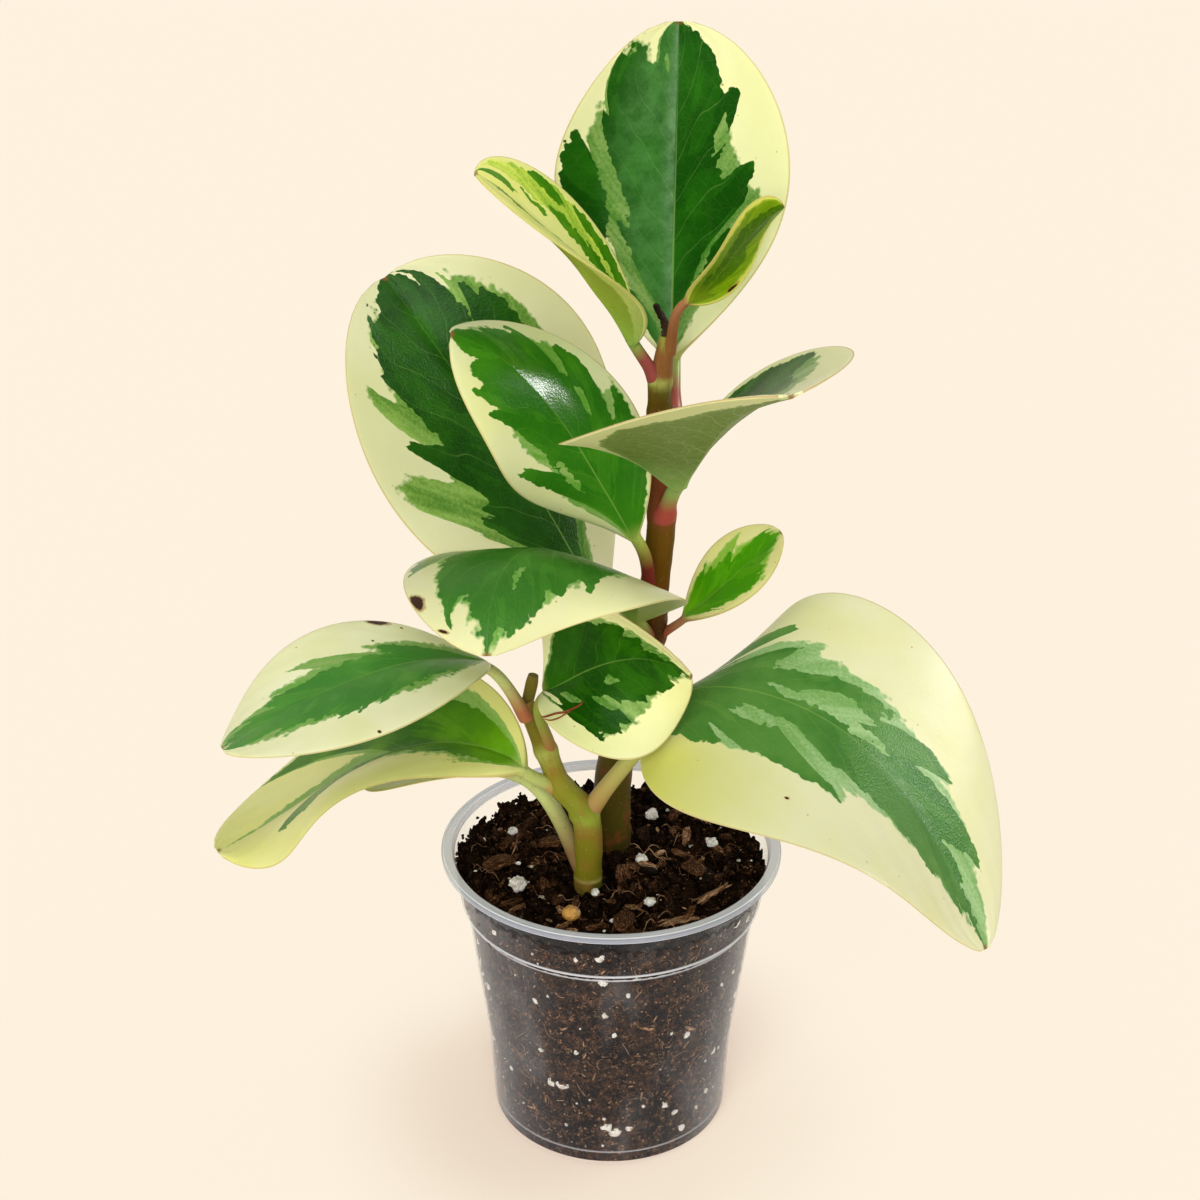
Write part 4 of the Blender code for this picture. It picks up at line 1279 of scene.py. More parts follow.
@dataclass(frozen=True)
class Stem:
    """A bent round stem, swollen at its nodes, in millimetres."""
    node: str
    slot: str
    line: tuple
    radii: tuple
    nodes: tuple
    finish: StemFinish
    swell: float = 0.5
    spread: float = 1.8
    wobble: float = 0.06
    bump_length: float = 5.0
    rows: int = 150
    columns: int = 32

    def build(self) -> Piece:
        """Model, dress and attach the stem.

        Returns:
            The stem.
        """
        points = [Vector(point) for point in self.line]
        widths = [Vector((radius, 0.0, 0.0)) for radius in self.radii]

        def place(row: float, turn: float) -> tuple[Vector, dict]:
            """Map a grid place to the stem's skin.

            Args:
                row: Share of the way along.
                turn: Share of the way round.

            Returns:
                The point and its attributes.
            """
            centre = through(points, row)
            ahead = through(points, min(row + 0.01, 1.0)) - through(points, max(row - 0.01, 0.0))
            ahead = ahead.normalized()
            side = ahead.cross(Vector((0.0, 1.0, 0.0))).normalized()
            up = side.cross(ahead)
            near = max(
                (math.exp(-((centre.z - height) / self.spread) ** 2) for height in self.nodes),
                default=0.0,
            )
            angle = math.tau * turn
            x, y = math.cos(angle), math.sin(angle)
            bumps = self.wobble * noise.noise(Vector((x, y, centre.z / self.bump_length)))
            radius = through(widths, row).x * (1.0 + bumps) + self.swell * near
            point = centre + (side * x + up * y) * radius
            rise = (centre.z - points[0].z) / (points[-1].z - points[0].z)
            return point * MM, {"along": rise, "turn_x": x, "turn_y": y}

        item = skin_tube(self.node + "_skin", self.rows, self.columns, place)
        item.data.materials.append(self.finish.material(self.node + "_bark"))
        attach(item, self.slot, self.node)
        return item


STEMS: tuple[Stem, ...] = (
    Stem(
        "main_stem", "stem_olive",
        line=((0.0, 7.0, 50.0), (0.2, 7.0, 76.0), (1.0, 7.0, 102.0), (9.5, 7.0, 139.0),
              (10.0, 6.0, 148.0), (12.0, 5.0, 173.5), (11.0, 3.0, 201.0), (11.0, 2.0, 209.0),
              (12.5, 2.0, 220.5)),
        radii=(5.2, 5.1, 4.8, 4.1, 3.8, 3.5, 2.9, 2.7, 1.9), swell=0.4,
        nodes=(129.0, 139.5, 147.0, 173.5, 201.0, 209.0),
        finish=StemFinish(stops=(
            (0.14, (0.02, 0.014, 0.003)), (0.2, (0.07, 0.058, 0.006)), (0.4, (0.095, 0.065, 0.008)),
            (0.46, (0.19, 0.05, 0.018)), (0.51, (0.2, 0.055, 0.018)), (0.54, (0.085, 0.036, 0.008)),
            (0.6, (0.165, 0.064, 0.004)), (0.7, (0.16, 0.08, 0.005)), (0.725, (0.24, 0.075, 0.026)),
            (0.82, (0.24, 0.06, 0.024)), (0.86, (0.085, 0.06, 0.008)), (0.905, (0.135, 0.08, 0.006)),
            (0.922, (0.17, 0.13, 0.014)), (0.936, (0.5, 0.52, 0.12)), (0.946, (0.31, 0.13, 0.035)),
            (0.975, (0.31, 0.125, 0.035)), (0.99, (0.36, 0.34, 0.06)))),
    ),
    Stem(
        "front_stem", "stem_green",
        line=((-6.0, -12.0, 50.0), (-6.0, -12.0, 76.0), (-6.6, -12.0, 96.0), (-13.0, -11.2, 105.0),
              (-16.8, -10.6, 115.0), (-22.0, -10.0, 128.5)),
        radii=(3.7, 3.7, 3.6, 2.9, 2.7, 2.2),
        nodes=(97.6, 104.5, 115.0),
        finish=StemFinish(
            stops=((0.34, (0.075, 0.08, 0.005)), (0.352, (0.085, 0.08, 0.006)), (0.362, (0.34, 0.3, 0.09)),
                   (0.374, (0.155, 0.14, 0.007)), (0.54, (0.185, 0.165, 0.01)), (0.59, (0.28, 0.34, 0.04)),
                   (0.62, (0.21, 0.24, 0.02)), (0.76, (0.25, 0.21, 0.02)), (0.83, (0.33, 0.36, 0.07)),
                   (0.87, (0.17, 0.14, 0.012)), (0.97, (0.15, 0.12, 0.012)), (1.0, (0.24, 0.15, 0.03))),
            streak=(0.11, 0.15, 0.015), blush=(0.27, 0.12, 0.03)),
    ),
    Stem(
        "front_bud", "stem_green",
        line=((-21.2, -9.2, 128.6), (-20.6, -8.4, 131.0), (-20.2, -8.1, 133.0), (-19.8, -8.1, 135.0)),
        radii=(1.5, 1.6, 1.6, 1.3), nodes=(),
        finish=StemFinish(
            stops=((0.0, (0.14, 0.11, 0.012)), (1.0, (0.19, 0.16, 0.022))),
            streak=(0.09, 0.08, 0.008), blush=(0.2, 0.12, 0.02)),
        rows=40, columns=24,
    ),
    Stem(
        "withered_bud", "dry_bud",
        line=((12.5, 2.1, 220.6), (12.0, 2.6, 223.0), (10.8, 2.6, 225.6), (9.4, 2.4, 228.0)),
        radii=(1.3, 0.95, 0.85, 0.6), nodes=(), wobble=0.7, bump_length=0.9,
        finish=StemFinish(stops=((0.0, (0.05, 0.025, 0.012)), (1.0, (0.02, 0.012, 0.008))),
                          streak=(0.01, 0.006, 0.004), blush=(0.08, 0.04, 0.02)),
        rows=40, columns=24,
    ),
)


# ---- pot ---------------------------------------------------------------------------------
@dataclass(frozen=True)
class ClearPlastic:
    """The pot's clear plastic, with a grey haze where it is thick, ridged or seen side on; the haze at the
    ridges also paints bright highlight lines.

    Ridges are (height in mm, half width in mm, how much they hide).
    """
    tint: Colour = (0.82, 0.84, 0.9)
    roughness: float = 0.14
    rim_tint: Colour = (0.56, 0.59, 0.7)
    haze: float = 0.01
    edge_haze: float = 0.48
    rim_haze: float = 0.46
    rim_height: float = 79.4
    # painted highlight: each ridge's haze line also stands in for the bright line that light draws along it
    ridges: tuple = (
        (64.3, 0.34, 0.4), (66.2, 0.44, 0.62), (4.3, 0.2, 0.34), (79.75, 0.2, 0.5), (81.1, 0.14, 0.5),
    )

    def material(self, name: str) -> Finish:
        """Wire the clear plastic.

        Args:
            name: Name of the new material.

        Returns:
            The material.
        """
        w = Wiring(name)
        height = w.times(w.split(w.coords)[2], 1.0 / MM)
        smear = w.noise(w.stretch(w.coords, (1.0, 1.0, 0.5)), 55.0, 3.0, 0.6)
        side_on = w.math("POWER", w.facing(), 4.0)
        cover = w.scaled(side_on, self.edge_haze, self.haze)
        cover = w.plus(cover, w.step(smear, 0.5, 0.8, 0.0, 0.05))
        rim = w.step(height, self.rim_height - 0.2, self.rim_height + 0.2)
        cover = w.scaled(rim, self.rim_haze, cover)
        # painted highlight: lines of haze along the ridges, in the pale tint
        lines = 0.0
        for place, width, share in self.ridges:
            off = w.math("ABSOLUTE", w.minus(height, place))
            lines = w.plus(lines, w.step(off, width, width * 0.4, 0.0, share))
        cover = w.plus(cover, lines)
        # on the rim the ridge lines keep the pale tint as painted highlight lines, and the rest takes the
        # bluer rim tint
        plain = w.times(rim, w.scaled(lines, -2.0, 1.0, clamp=True))
        tint = w.blend(plain, self.tint, self.rim_tint)
        ripple = w.bump(w.noise(w.coords, 70.0, 2.0), 0.0005, 0.25)
        return w.dress(
            Base_Color=tint, Roughness=self.roughness, IOR=1.49, Normal=ripple,
            Alpha=w.math("MINIMUM", cover, 0.92),
        )


@dataclass
class Pot:
    """The clear nursery pot, in millimetres."""
    rim_radius: float = 45.0
    height: float = 81.2
    wall: float = 0.8
    skin: float = 0.3
    lip: float = 1.7
    lip_inner: float = 42.2
    outline: tuple = (
        (31.5, 0.0), (32.1, 1.4), (33.4, 24.0), (37.2, 52.6), (37.7, 57.0),
        (38.2, 60.5), (38.9, 65.2), (40.0, 66.0), (42.4, 79.5),
    )
    disc: float = 14.0
    raised: tuple = (15.5, 27.5)
    raised_height: float = 2.5
    heel: float = 29.0
    drains: int = 5
    drain_radius: float = 3.5
    drain_circle: float = 21.5
    sides: int = 160
    finish: ClearPlastic = field(default_factory=ClearPlastic)

    def wall_radius(self, height: float) -> float:
        """The wall's outer radius at a height.

        Args:
            height: The height.

        Returns:
            The radius.
        """
        for (low_r, low_z), (high_r, high_z) in zip(self.outline, self.outline[1:]):
            if height <= high_z:
                return low_r + (high_r - low_r) * (height - low_z) / (high_z - low_z)
        return self.outline[-1][0]

    def floor_inside(self, gap: float = 0.0) -> list[tuple[float, float]]:
        """The upper side of the floor, from the centre to the heel, raised by a gap.

        Args:
            gap: The gap.

        Returns:
            Its (radius, height) points.
        """
        raised_in, raised_out = self.raised
        low, top = self.wall + gap, self.raised_height + self.wall + gap
        return [
            (0.0, low), (self.disc - self.wall, low), (raised_in - self.wall, top),
            (raised_out + self.wall, top), (self.heel + self.wall, low),
        ]

    def section(self) -> list[tuple[float, float]]:
        """The pot's section, from the inside centre up the wall, over the rim and back.

        Returns:
            Its (radius, height) points.
        """
        raised_in, raised_out = self.raised
        inside = self.floor_inside() + [(30.9, self.wall)]
        inside += [(radius - self.skin, height) for radius, height in self.outline[1:-1]]
        rim = [
            (self.lip_inner - 0.6, self.height - 1.6), (self.lip_inner, self.height - 0.3),
            (self.lip_inner + 0.5, self.height), (self.rim_radius - 0.6, self.height),
            (self.rim_radius, self.height - 0.5), (self.rim_radius, self.height - self.lip + 0.3),
            (self.rim_radius - 0.4, self.height - self.lip),
        ]
        under = [
            (self.heel, 0.0), (raised_out, self.raised_height), (raised_in, self.raised_height),
            (self.disc, 0.0), (0.0, 0.0),
        ]
        return inside + rim + list(reversed(self.outline)) + under

    def build(self) -> Piece:
        """Turn the pot's section, drill its drains, dress it and attach it.

        Returns:
            The pot.
        """
        section = [(radius * MM, height * MM) for radius, height in self.section()]
        pot = finish_mesh("clear_pot_shell", turned(section, self.sides, 1e-6), 25.0)
        self.drill(pot)
        soften = pot.modifiers.new("soft_edges", "BEVEL")
        soften.limit_method = "ANGLE"
        soften.angle_limit = math.radians(20.0)
        soften.width = 0.25 * MM
        soften.segments = 2
        pot.data.materials.append(self.finish.material("clear_plastic"))
        attach(pot, "clear_plastic", "clear_pot")
        return pot

    def drill(self, pot: Piece) -> None:
        """Cut the ring of drain holes through the raised floor.

        Args:
            pot: The turned pot.
        """
        drills = []
        for index in range(self.drains):
            angle = math.tau * (index + 0.5) / self.drains
            bm = bmesh.new()
            bmesh.ops.create_cone(bm, cap_ends=True, segments=40, radius1=self.drain_radius * MM,
                                  radius2=self.drain_radius * MM, depth=6.0 * MM)
            spot = Vector((math.cos(angle), math.sin(angle), 0.0)) * self.drain_circle * MM
            spot.z = self.raised_height * MM
            bmesh.ops.translate(bm, vec=spot, verts=bm.verts[:])
            hole = pot.modifiers.new(f"drain_{index}", "BOOLEAN")
            hole.solver = "EXACT"
            hole.object = finish_mesh(f"drain_drill_{index}", bm)
            drills.append(hole.object)
        apply_modifiers(pot)
        for drill in drills:
            bpy.data.objects.remove(drill, do_unlink=True)


def apply_modifiers(item: Piece) -> None:
    """Bake an object's modifiers into its mesh.

    Args:
        item: The object.
    """
    graph = bpy.context.evaluated_depsgraph_get()
    mesh = bpy.data.meshes.new_from_object(item.evaluated_get(graph))
    item.modifiers.clear()
    item.data = mesh


# ---- soil --------------------------------------------------------------------------------
@dataclass(frozen=True)
class SoilFinish:
    """Dark damp peat: black crumbs, brown fibre and tan flecks, with painted shade that darkens its top."""
    black: Colour = (0.005, 0.003, 0.0022)
    brown: Colour = (0.05, 0.024, 0.013)
    rust: Colour = (0.19, 0.085, 0.036)
    tan: Colour = (0.5, 0.28, 0.15)

    def material(self, name: str) -> Finish:
        """Wire the soil's material.

        Args:
            name: Name of the new material.

        Returns:
            The material.
        """
        w = Wiring(name)
        clods = w.noise(w.coords, 110.0, 3.0, 0.6)
        crumbs = w.noise(w.coords, 620.0, 5.0, 0.72)
        grains = w.noise(w.coords, 2300.0, 2.0)
        depth = w.plus(w.times(clods, 0.35), w.times(crumbs, 0.65))
        base = w.blend(w.step(depth, 0.44, 0.61), self.black, self.brown)
        base = w.blend(w.step(crumbs, 0.58, 0.72, 0.0, 0.7), base, self.rust)
        base = w.blend(w.step(grains, 0.58, 0.75, 0.0, 0.35), base, self.rust)
        base = self.strands(w, base, 330.0, 0.014, self.rust, 0.85)
        base = self.strands(w, base, 520.0, 0.022, self.rust, 0.8)
        base = self.strands(w, base, 700.0, 0.024, self.tan, 0.5)
        speck = w.times(w.step(w.cells(w.coords, 1100.0), 0.34, 0.24),
                       w.step(w.pick(w.coords, 1100.0), 0.9, 0.91))
        base = w.blend(w.times(speck, 0.8), base, self.tan)
        # painted shade: the top of the body is darkened towards black, standing in for the deep shade in
        # the gaps between the chips
        above = w.step(w.split(w.coords)[2], 0.0725, 0.0745, 0.0, 0.7)
        base = w.blend(above, base, self.black)
        bump = w.bump(w.plus(crumbs, w.times(grains, 0.25)), 0.0016, 0.9)
        return w.dress(Base_Color=base, Roughness=0.85, Normal=bump, Specular_IOR_Level=0.0)

    def strands(self, w: Wiring, base: object, scale: float, width: float, colour: Colour,
                share: float) -> Socket:
        """Draw curled broken fibres, the level lines of a noise, over a colour.

        Args:
            w: The material's nodes.
            base: The colour so far.
            scale: How close they lie.
            width: How wide they are.
            colour: Their colour.
            share: How far they cover.

        Returns:
            The colour.
        """
        level = w.noise(w.coords, scale, 1.5, 0.5, 0.6)
        line = w.step(w.math("ABSOLUTE", w.minus(level, 0.5)), width, width * 0.4)
        broken = w.step(w.noise(w.coords, scale * 0.6, 2.0), 0.52, 0.6)
        return w.blend(w.times(w.times(line, broken), share), base, colour)


@dataclass(frozen=True)
class LitterFinish:
    """Bark, fibre and peat bits, each with its own shade and a grain along its length."""
    stops: tuple = (
        (0.0, (0.004, 0.002, 0.001)), (0.34, (0.018, 0.0075, 0.0035)), (0.6, (0.105, 0.044, 0.018)),
        (0.8, (0.28, 0.14, 0.068)), (1.0, (0.6, 0.38, 0.22)),
    )
    roughness: float = 0.62

    def material(self, name: str) -> Finish:
        """Wire the litter's material, which reads the shade and grain attributes.

        Args:
            name: Name of the new material.

        Returns:
            The material.
        """
        w = Wiring(name)
        shade = w.attribute("shade")
        lengthwise = w.stretch(w.attribute("grain", "Vector"), (0.22, 1.0, 1.0))
        fibre = w.noise(lengthwise, 2.6, 4.0, 0.65)
        fine = w.noise(w.coords, 1500.0, 3.0, 0.65)
        mixed = w.plus(w.times(fibre, 0.7), w.times(fine, 0.3))
        tone = w.plus(shade, w.times(w.minus(mixed, 0.5), 2.2))
        base = w.ramp(tone, self.stops)
        bump = w.bump(mixed, 0.0009, 1.0)
        return w.dress(Base_Color=base, Roughness=self.roughness, Normal=bump, Specular_IOR_Level=0.02)


@dataclass(frozen=True)
class GritFinish:
    """A chalky or stony grain, pitted and stained."""
    colour: Colour
    stain: Colour
    roughness: float = 0.85
    glow: float = 0.2

    def material(self, name: str) -> Finish:
        """Wire the grain's material.

        Args:
            name: Name of the new material.

        Returns:
            The material.
        """
        w = Wiring(name)
        pits = w.cells(w.coords, 2400.0)
        stain = w.noise(w.coords, 520.0, 4.0, 0.65)
        base = w.blend(w.step(stain, 0.46, 0.66, 0.0, 0.85), self.colour, self.stain)
        base = w.blend(w.step(pits, 0.45, 0.75, 0.0, 0.45), base, self.stain)
        bump = w.bump(w.minus(stain, w.times(pits, 0.5)), 0.0005, 0.9)
        return w.dress(Base_Color=base, Roughness=self.roughness, Normal=bump,
                       Subsurface_Weight=self.glow, Subsurface_Radius=(1.0, 0.9, 0.7),
                       Subsurface_Scale=0.0008)


PERLITE = GritFinish(colour=(0.84, 0.82, 0.77), stain=(0.34, 0.26, 0.19))
AMBER = GritFinish(colour=(0.62, 0.34, 0.06), stain=(0.34, 0.14, 0.02), roughness=0.4, glow=0.3)


class Heap:
    """One mesh that gathers many small bits of one finish."""
    batch_size = 12

    def __init__(self, seed: int) -> None:
        """Start an empty heap with its own seeded random numbers.

        Args:
            seed: The random numbers' seed.
        """
        self.rng = Random(seed)
        self.batches: list[bpy.types.Mesh] = []
        self.open_batch()

    def open_batch(self) -> None:
        """Start a small mesh for the next few bits, as operators slow down on a large one."""
        self.count = 0
        self.bm = bmesh.new()
        self.shade = self.bm.verts.layers.float.new("shade")
        self.grain = self.bm.verts.layers.float_vector.new("grain")

    def close_batch(self) -> None:
        """Put the bits made so far aside."""
        mesh = bpy.data.meshes.new("batch")
        self.bm.to_mesh(mesh)
        self.bm.free()
        self.batches.append(mesh)

    def next_bit(self) -> None:
        """Count one bit, and start a new batch when this one is full."""
        self.count += 1
        if self.count > self.batch_size:
            self.close_batch()
            self.open_batch()

    def add_lump(self, matrix: Matrix, size: Three, shade: float, detail: int = 1,
                 rough: float = 0.25) -> None:
        """Add one rough lump.

        Args:
            matrix: Its place and turn, in millimetres.
            size: Its half lengths, in millimetres.
            shade: Its own shade, from 0 to 1.
            detail: How finely it is divided.
            rough: How far its surface strays, as a share of its size.
        """
        self.next_bit()
        verts = bmesh.ops.create_icosphere(self.bm, subdivisions=detail, radius=1.0)["verts"]
        offset = Vector((self.rng.uniform(0, 90), self.rng.uniform(0, 90), 0.0))
        for vert in verts:
            push = noise.noise(vert.co * 1.3 + offset) + 0.6 * noise.noise(vert.co * 3.1 + offset)
            spot = vert.co * (1.0 + rough * push * 2.0)
            spot = Vector((spot.x * size[0], spot.y * size[1], spot.z * size[2]))
            vert[self.shade] = shade
            vert[self.grain] = spot + offset
            vert.co = (matrix @ spot) * MM

    def add_strand(self, centres: list[Vector], radius: float, shade: float, sides: int = 6) -> None:
        """Add one thin tapered strand.

        Args:
            centres: Points along it, in millimetres.
            radius: Its greatest radius, in millimetres.
            shade: Its own shade, from 0 to 1.
            sides: How many sides it has.
        """
        self.next_bit()
        steps = max(8, len(centres) * 2)
        points = [through(centres, step / steps) for step in range(steps + 1)]
        offset = self.rng.uniform(0.0, 90.0)
        ring = bmesh.ops.create_circle(self.bm, cap_ends=True, segments=sides, radius=radius)["verts"]
        first = face = ring[0].link_faces[0]
        for index, point in enumerate(points):
            ahead = points[min(index + 1, steps)] - points[max(index - 1, 0)]
            turn = ahead.to_track_quat("Z", "Y").to_matrix()
            if index:
                made = bmesh.ops.extrude_face_region(self.bm, geom=[face])["geom"]
                if face is not first:
                    bmesh.ops.delete(self.bm, geom=[face], context="FACES_ONLY")
                face = next(part for part in made if isinstance(part, bmesh.types.BMFace))
            share = index / steps
            thick = radius * (1.0 - 0.65 * abs(2.0 * share - 1.0) ** 3)
            for corner, loop in enumerate(face.loops):
                angle = math.tau * corner / sides
                spot = Vector((math.cos(angle), math.sin(angle), 0.0)) * thick
                loop.vert.co = (point + turn @ spot) * MM
                loop.vert[self.shade] = shade
                loop.vert[self.grain] = Vector((share * 8.0 + offset, spot.x * 3.0, spot.y * 3.0))

    def finish(self, name: str, slot: str, material: Finish, *nodes: str) -> object:
        """Turn the heap into one attached piece and return it.

        Args:
            name: Name of the new object.
            slot: The record's material slot.
            material: Its material.
            nodes: The CAD nodes that it stands for.

        Returns:
            The piece.
        """
        self.close_batch()
        whole = bmesh.new()
        whole.verts.layers.float.new("shade")
        whole.verts.layers.float_vector.new("grain")
        for mesh in self.batches:
            whole.from_mesh(mesh)
            bpy.data.meshes.remove(mesh)
        item = finish_mesh(name, whole, 45.0)
        item.data.materials.append(material)
        attach(item, slot, *nodes)
        return item


@dataclass
class Soil:
    """The soil body with its loose litter, in millimetres."""
    pot: Pot
    edge_height: float = 74.5
    crown: float = 2.2
    lump: float = 1.3
    climb: float = 5.0
    hollow: float = 2.6
    hollow_at: tuple = (-24.0, 20.0)
    hollow_spread: float = 15.0
    gap: float = 0.12
    sides: int = 260
    levels: int = 90
    rings: int = 60
    stems: tuple = ((0.2, 7.0, 6.0), (-6.0, -12.0, 4.6), (-8.8, -11.2, 3.8))
    reach: float = 39.3                                 # furthest out that the surface is read
    litter_reach: float = 40.0
    litter_heights: tuple[float, float] = (5.5, 73.0)   # of the litter behind the wall

    def height(self, x: float, y: float) -> float:
        """The lumpy height of the surface at a place.

        Args:
            x: Its place to the right.
            y: Its place to the back.

        Returns:
            The height.
        """
        reach = math.hypot(x, y) / self.pot.rim_radius
        crown = self.crown * (1.0 - reach ** 2)
        away = math.hypot(x - self.hollow_at[0], y - self.hollow_at[1]) / self.hollow_spread
        hollow = self.hollow * math.exp(-away ** 2)
        lump = self.lump * noise.noise(Vector((x / 7.0, y / 7.0, 3.7)))
        ragged = max(0.0, noise.noise(Vector((x / 2.6, y / 2.6, 9.1))) + 0.25)
        back = max(0.0, min(1.0, (y - x) / 25.0 + 0.3))
        edge = max(0.0, min(1.0, (reach - 0.72) / 0.14))
        return self.edge_height + crown - hollow + lump + self.climb * ragged * back * edge

    def build(self) -> None:
        """Model the soil and everything loose in it."""
        body = self.build_body()
        self.surface = BVHTree.FromPolygons(
            [vert.co / MM for vert in body.data.vertices],
            [tuple(polygon.vertices) for polygon in body.data.polygons],
        )
        self.build_bark()
        self.build_fibre()
        self.build_perlite()

    def build_body(self) -> Piece:
        """The body: turned, then crumbled on top and along its side.

        Returns:
            The body.
        """
        inner = self.pot.skin + self.gap
        floor = self.pot.wall + self.gap
        side = self.pot.floor_inside(self.gap)
        for step in range(self.levels + 1):
            z = floor + (self.edge_height - floor) * step / self.levels
            side.append((self.pot.wall_radius(z + 1.0) - inner, z))
        edge = side[-1][0]
        top = [(edge * (1.0 - ring / self.rings), self.edge_height)
               for ring in range(1, self.rings + 1)]
        bm = turned(side + top, self.sides, 1e-3)
        for vert in bm.verts:
            self.crumble(vert, inner)
        bmesh.ops.scale(bm, vec=(MM, MM, MM), verts=bm.verts[:])
        body = finish_mesh("potting_soil_body", bm, 80.0)
        body.data.materials.append(SoilFinish().material("peat"))
        attach(body, "soil", "potting_soil")
        return body

    def crumble(self, vert: bmesh.types.BMVert, inner: float) -> None:
        """Move one point of the soil's skin to its lumpy place.

        Args:
            vert: The point.
            inner: How far the soil lies inside the wall's outer face.
        """
        x, y, z = vert.co
        radius = math.hypot(x, y)
        on_top = z > self.edge_height - 0.01
        crumbs = noise.noise(Vector((x / 1.6, y / 1.6, z / 1.6)))
        cells = noise.voronoi(Vector((x, y, z)) / (4.2 if on_top else 3.0))[0]
        pit = math.exp(-max(cells[1] - cells[0], 0.0) * 5.0)
        if on_top:
            vert.co.z = self.height(x, y) + 0.6 - 3.0 * pit + 0.8 * crumbs
            room = (self.pot.wall_radius(vert.co.z) - inner) / max(radius, 1.0)
            vert.co.xy = vert.co.xy * min(room, 1.0)
        elif radius > self.pot.heel and z > 2.0:
            inset = 0.7 * pit + 0.12 * (crumbs + 1.0)
            vert.co.xy = vert.co.xy * (1.0 - inset / radius)

    def top_at(self, x: float, y: float) -> Vector:
        """The point of the soil's surface above or below a place.

        Args:
            x: Its place to the right.
            y: Its place to the back.

        Returns:
            The point.
        """
        reach = math.hypot(x, y)
        if reach > self.reach:
            x, y = x * self.reach / reach, y * self.reach / reach
        return self.surface.ray_cast(Vector((x, y, 100.0)), Vector((0, 0, -1)))[0]

    def free_spot(self, rng: Random, clear: float) -> tuple[float, float]:
        """A random place on the surface that is clear of the stems.

        Args:
            rng: The random numbers.
            clear: How much room it needs.

        Returns:
            Its x and y.
        """
        limit = self.litter_reach - clear
        while True:
            radius = limit * math.sqrt(rng.random())
            angle = math.tau * rng.random()
            x, y = radius * math.cos(angle), radius * math.sin(angle)
            if all(math.hypot(x - sx, y - sy) > room + clear for sx, sy, room in self.stems):
                return x, y

    def wall_at(self, angle: float, z: float, depth: float) -> Vector:
        """A point at a depth behind the wall's inner face."""
        radius = self.pot.wall_radius(z) - self.pot.skin - depth
        return Vector((radius * math.cos(angle), radius * math.sin(angle), z))

    def wall_frame(self, rng: Random, depth: float) -> Matrix:
        """A random place and turn flat against the wall, with Z outwards.

        Args:
            rng: The random numbers.
            depth: How deep it lies behind the wall.

        Returns:
            The place and turn.
        """
        angle = math.tau * rng.random()
        place = self.wall_at(angle, rng.uniform(*self.litter_heights), depth)
        upright = Matrix.Rotation(angle, 4, "Z") @ Matrix.Rotation(math.pi / 2.0, 4, "Y")
        return Matrix.Translation(place) @ upright @ Matrix.Rotation(rng.uniform(0, math.tau), 4, "Z")

    def build_bark(self) -> None:
        """Bark chips and crumbs over the surface and behind the wall."""
        heap = Heap(seed=41)
        rng = heap.rng
        for count, low, high, detail in ((70, 2.2, 3.6, 2), (190, 1.1, 2.0, 2), (420, 0.4, 0.9, 1)):
            for _ in range(count):
                size = rng.uniform(low, high)
                x, y = self.free_spot(rng, size)
                tilt = Matrix.Rotation(rng.gauss(0.0, 0.6), 4, "X") @ Matrix.Rotation(
                    rng.gauss(0.0, 0.45), 4, "Y")
                turn = Matrix.Rotation(rng.uniform(0.0, math.tau), 4, "Z") @ tilt
                shape = (size, size * rng.uniform(0.35, 0.7), size * rng.uniform(0.18, 0.36))
                place = self.top_at(x, y) + Vector((0, 0, shape[2] * rng.uniform(0.1, 0.9)))
                shade = min(0.95, max(0.05, rng.gauss(0.38, 0.22)))
                heap.add_lump(Matrix.Translation(place) @ turn, shape, shade, detail)
        for _ in range(420):
            size = rng.choice((0.2, 0.3, 0.4, 0.6, 0.9))
            shape = (size * rng.uniform(1.2, 3.0), size * rng.uniform(0.25, 0.6), 0.16)
            shade = min(1.0, rng.uniform(0.4, 0.85) + (0.25 if size < 0.5 else 0.0))
            heap.add_lump(self.wall_frame(rng, 0.22), shape, shade, 1)
        for _ in range(70):
            angle = rng.uniform(0.3, 1.05) * math.pi
            size = rng.uniform(0.2, 0.7)
            place = self.wall_at(angle, self.edge_height + 3.0, size)
            place.z = self.top_at(place.x, place.y).z + 1.6 * rng.random() ** 2.0
            heap.add_lump(Matrix.Translation(place), (size, size, size * 1.2), rng.uniform(0.1, 0.4), 1)
        heap.finish("bark_litter", "bark", LitterFinish().material("bark_litter"))

    def build_fibre(self) -> None:
        """Root fibres over the surface and behind the wall."""
        heap = Heap(seed=77)
        rng = heap.rng
        lowest, highest = self.litter_heights
        for _ in range(60):
            x, y = self.free_spot(rng, 3.0)
            angle = rng.uniform(0.0, math.tau)
            length = rng.uniform(3.0, 12.0)
            bend = rng.uniform(-1.6, 1.6)
            arch = rng.uniform(0.3, 1.8)
            centres = []
            for step in range(7):
                share = step / 6
                turn = angle + bend * (share - 0.5)
                spot = self.top_at(x + math.cos(turn) * length * (share - 0.5),
                                   y + math.sin(turn) * length * (share - 0.5))
                centres.append(spot + Vector((0, 0, 0.2 + arch * math.sin(math.pi * share))))
            heap.add_strand(centres, rng.uniform(0.07, 0.2), rng.uniform(0.55, 0.95))
        for _ in range(380):
            angle = rng.uniform(0.0, math.tau)
            z = rng.uniform(7.0, 71.0)
            heading = rng.uniform(0.0, math.tau)
            bend = rng.gauss(0.0, 0.3)
            stride = rng.choice((0.25, 0.35, 0.5, 0.9))
            centres = []
            for _ in range(7):
                centres.append(self.wall_at(angle, z, rng.uniform(0.12, 0.24)))
                angle += math.cos(heading) * stride / 36.0
                z = min(max(z + math.sin(heading) * stride, lowest), highest)
                heading += bend
            heap.add_strand(centres, rng.uniform(0.05, 0.1), rng.uniform(0.5, 0.95), 5)
        heap.finish("root_fibres", "wood", LitterFinish().material("root_fibre"))

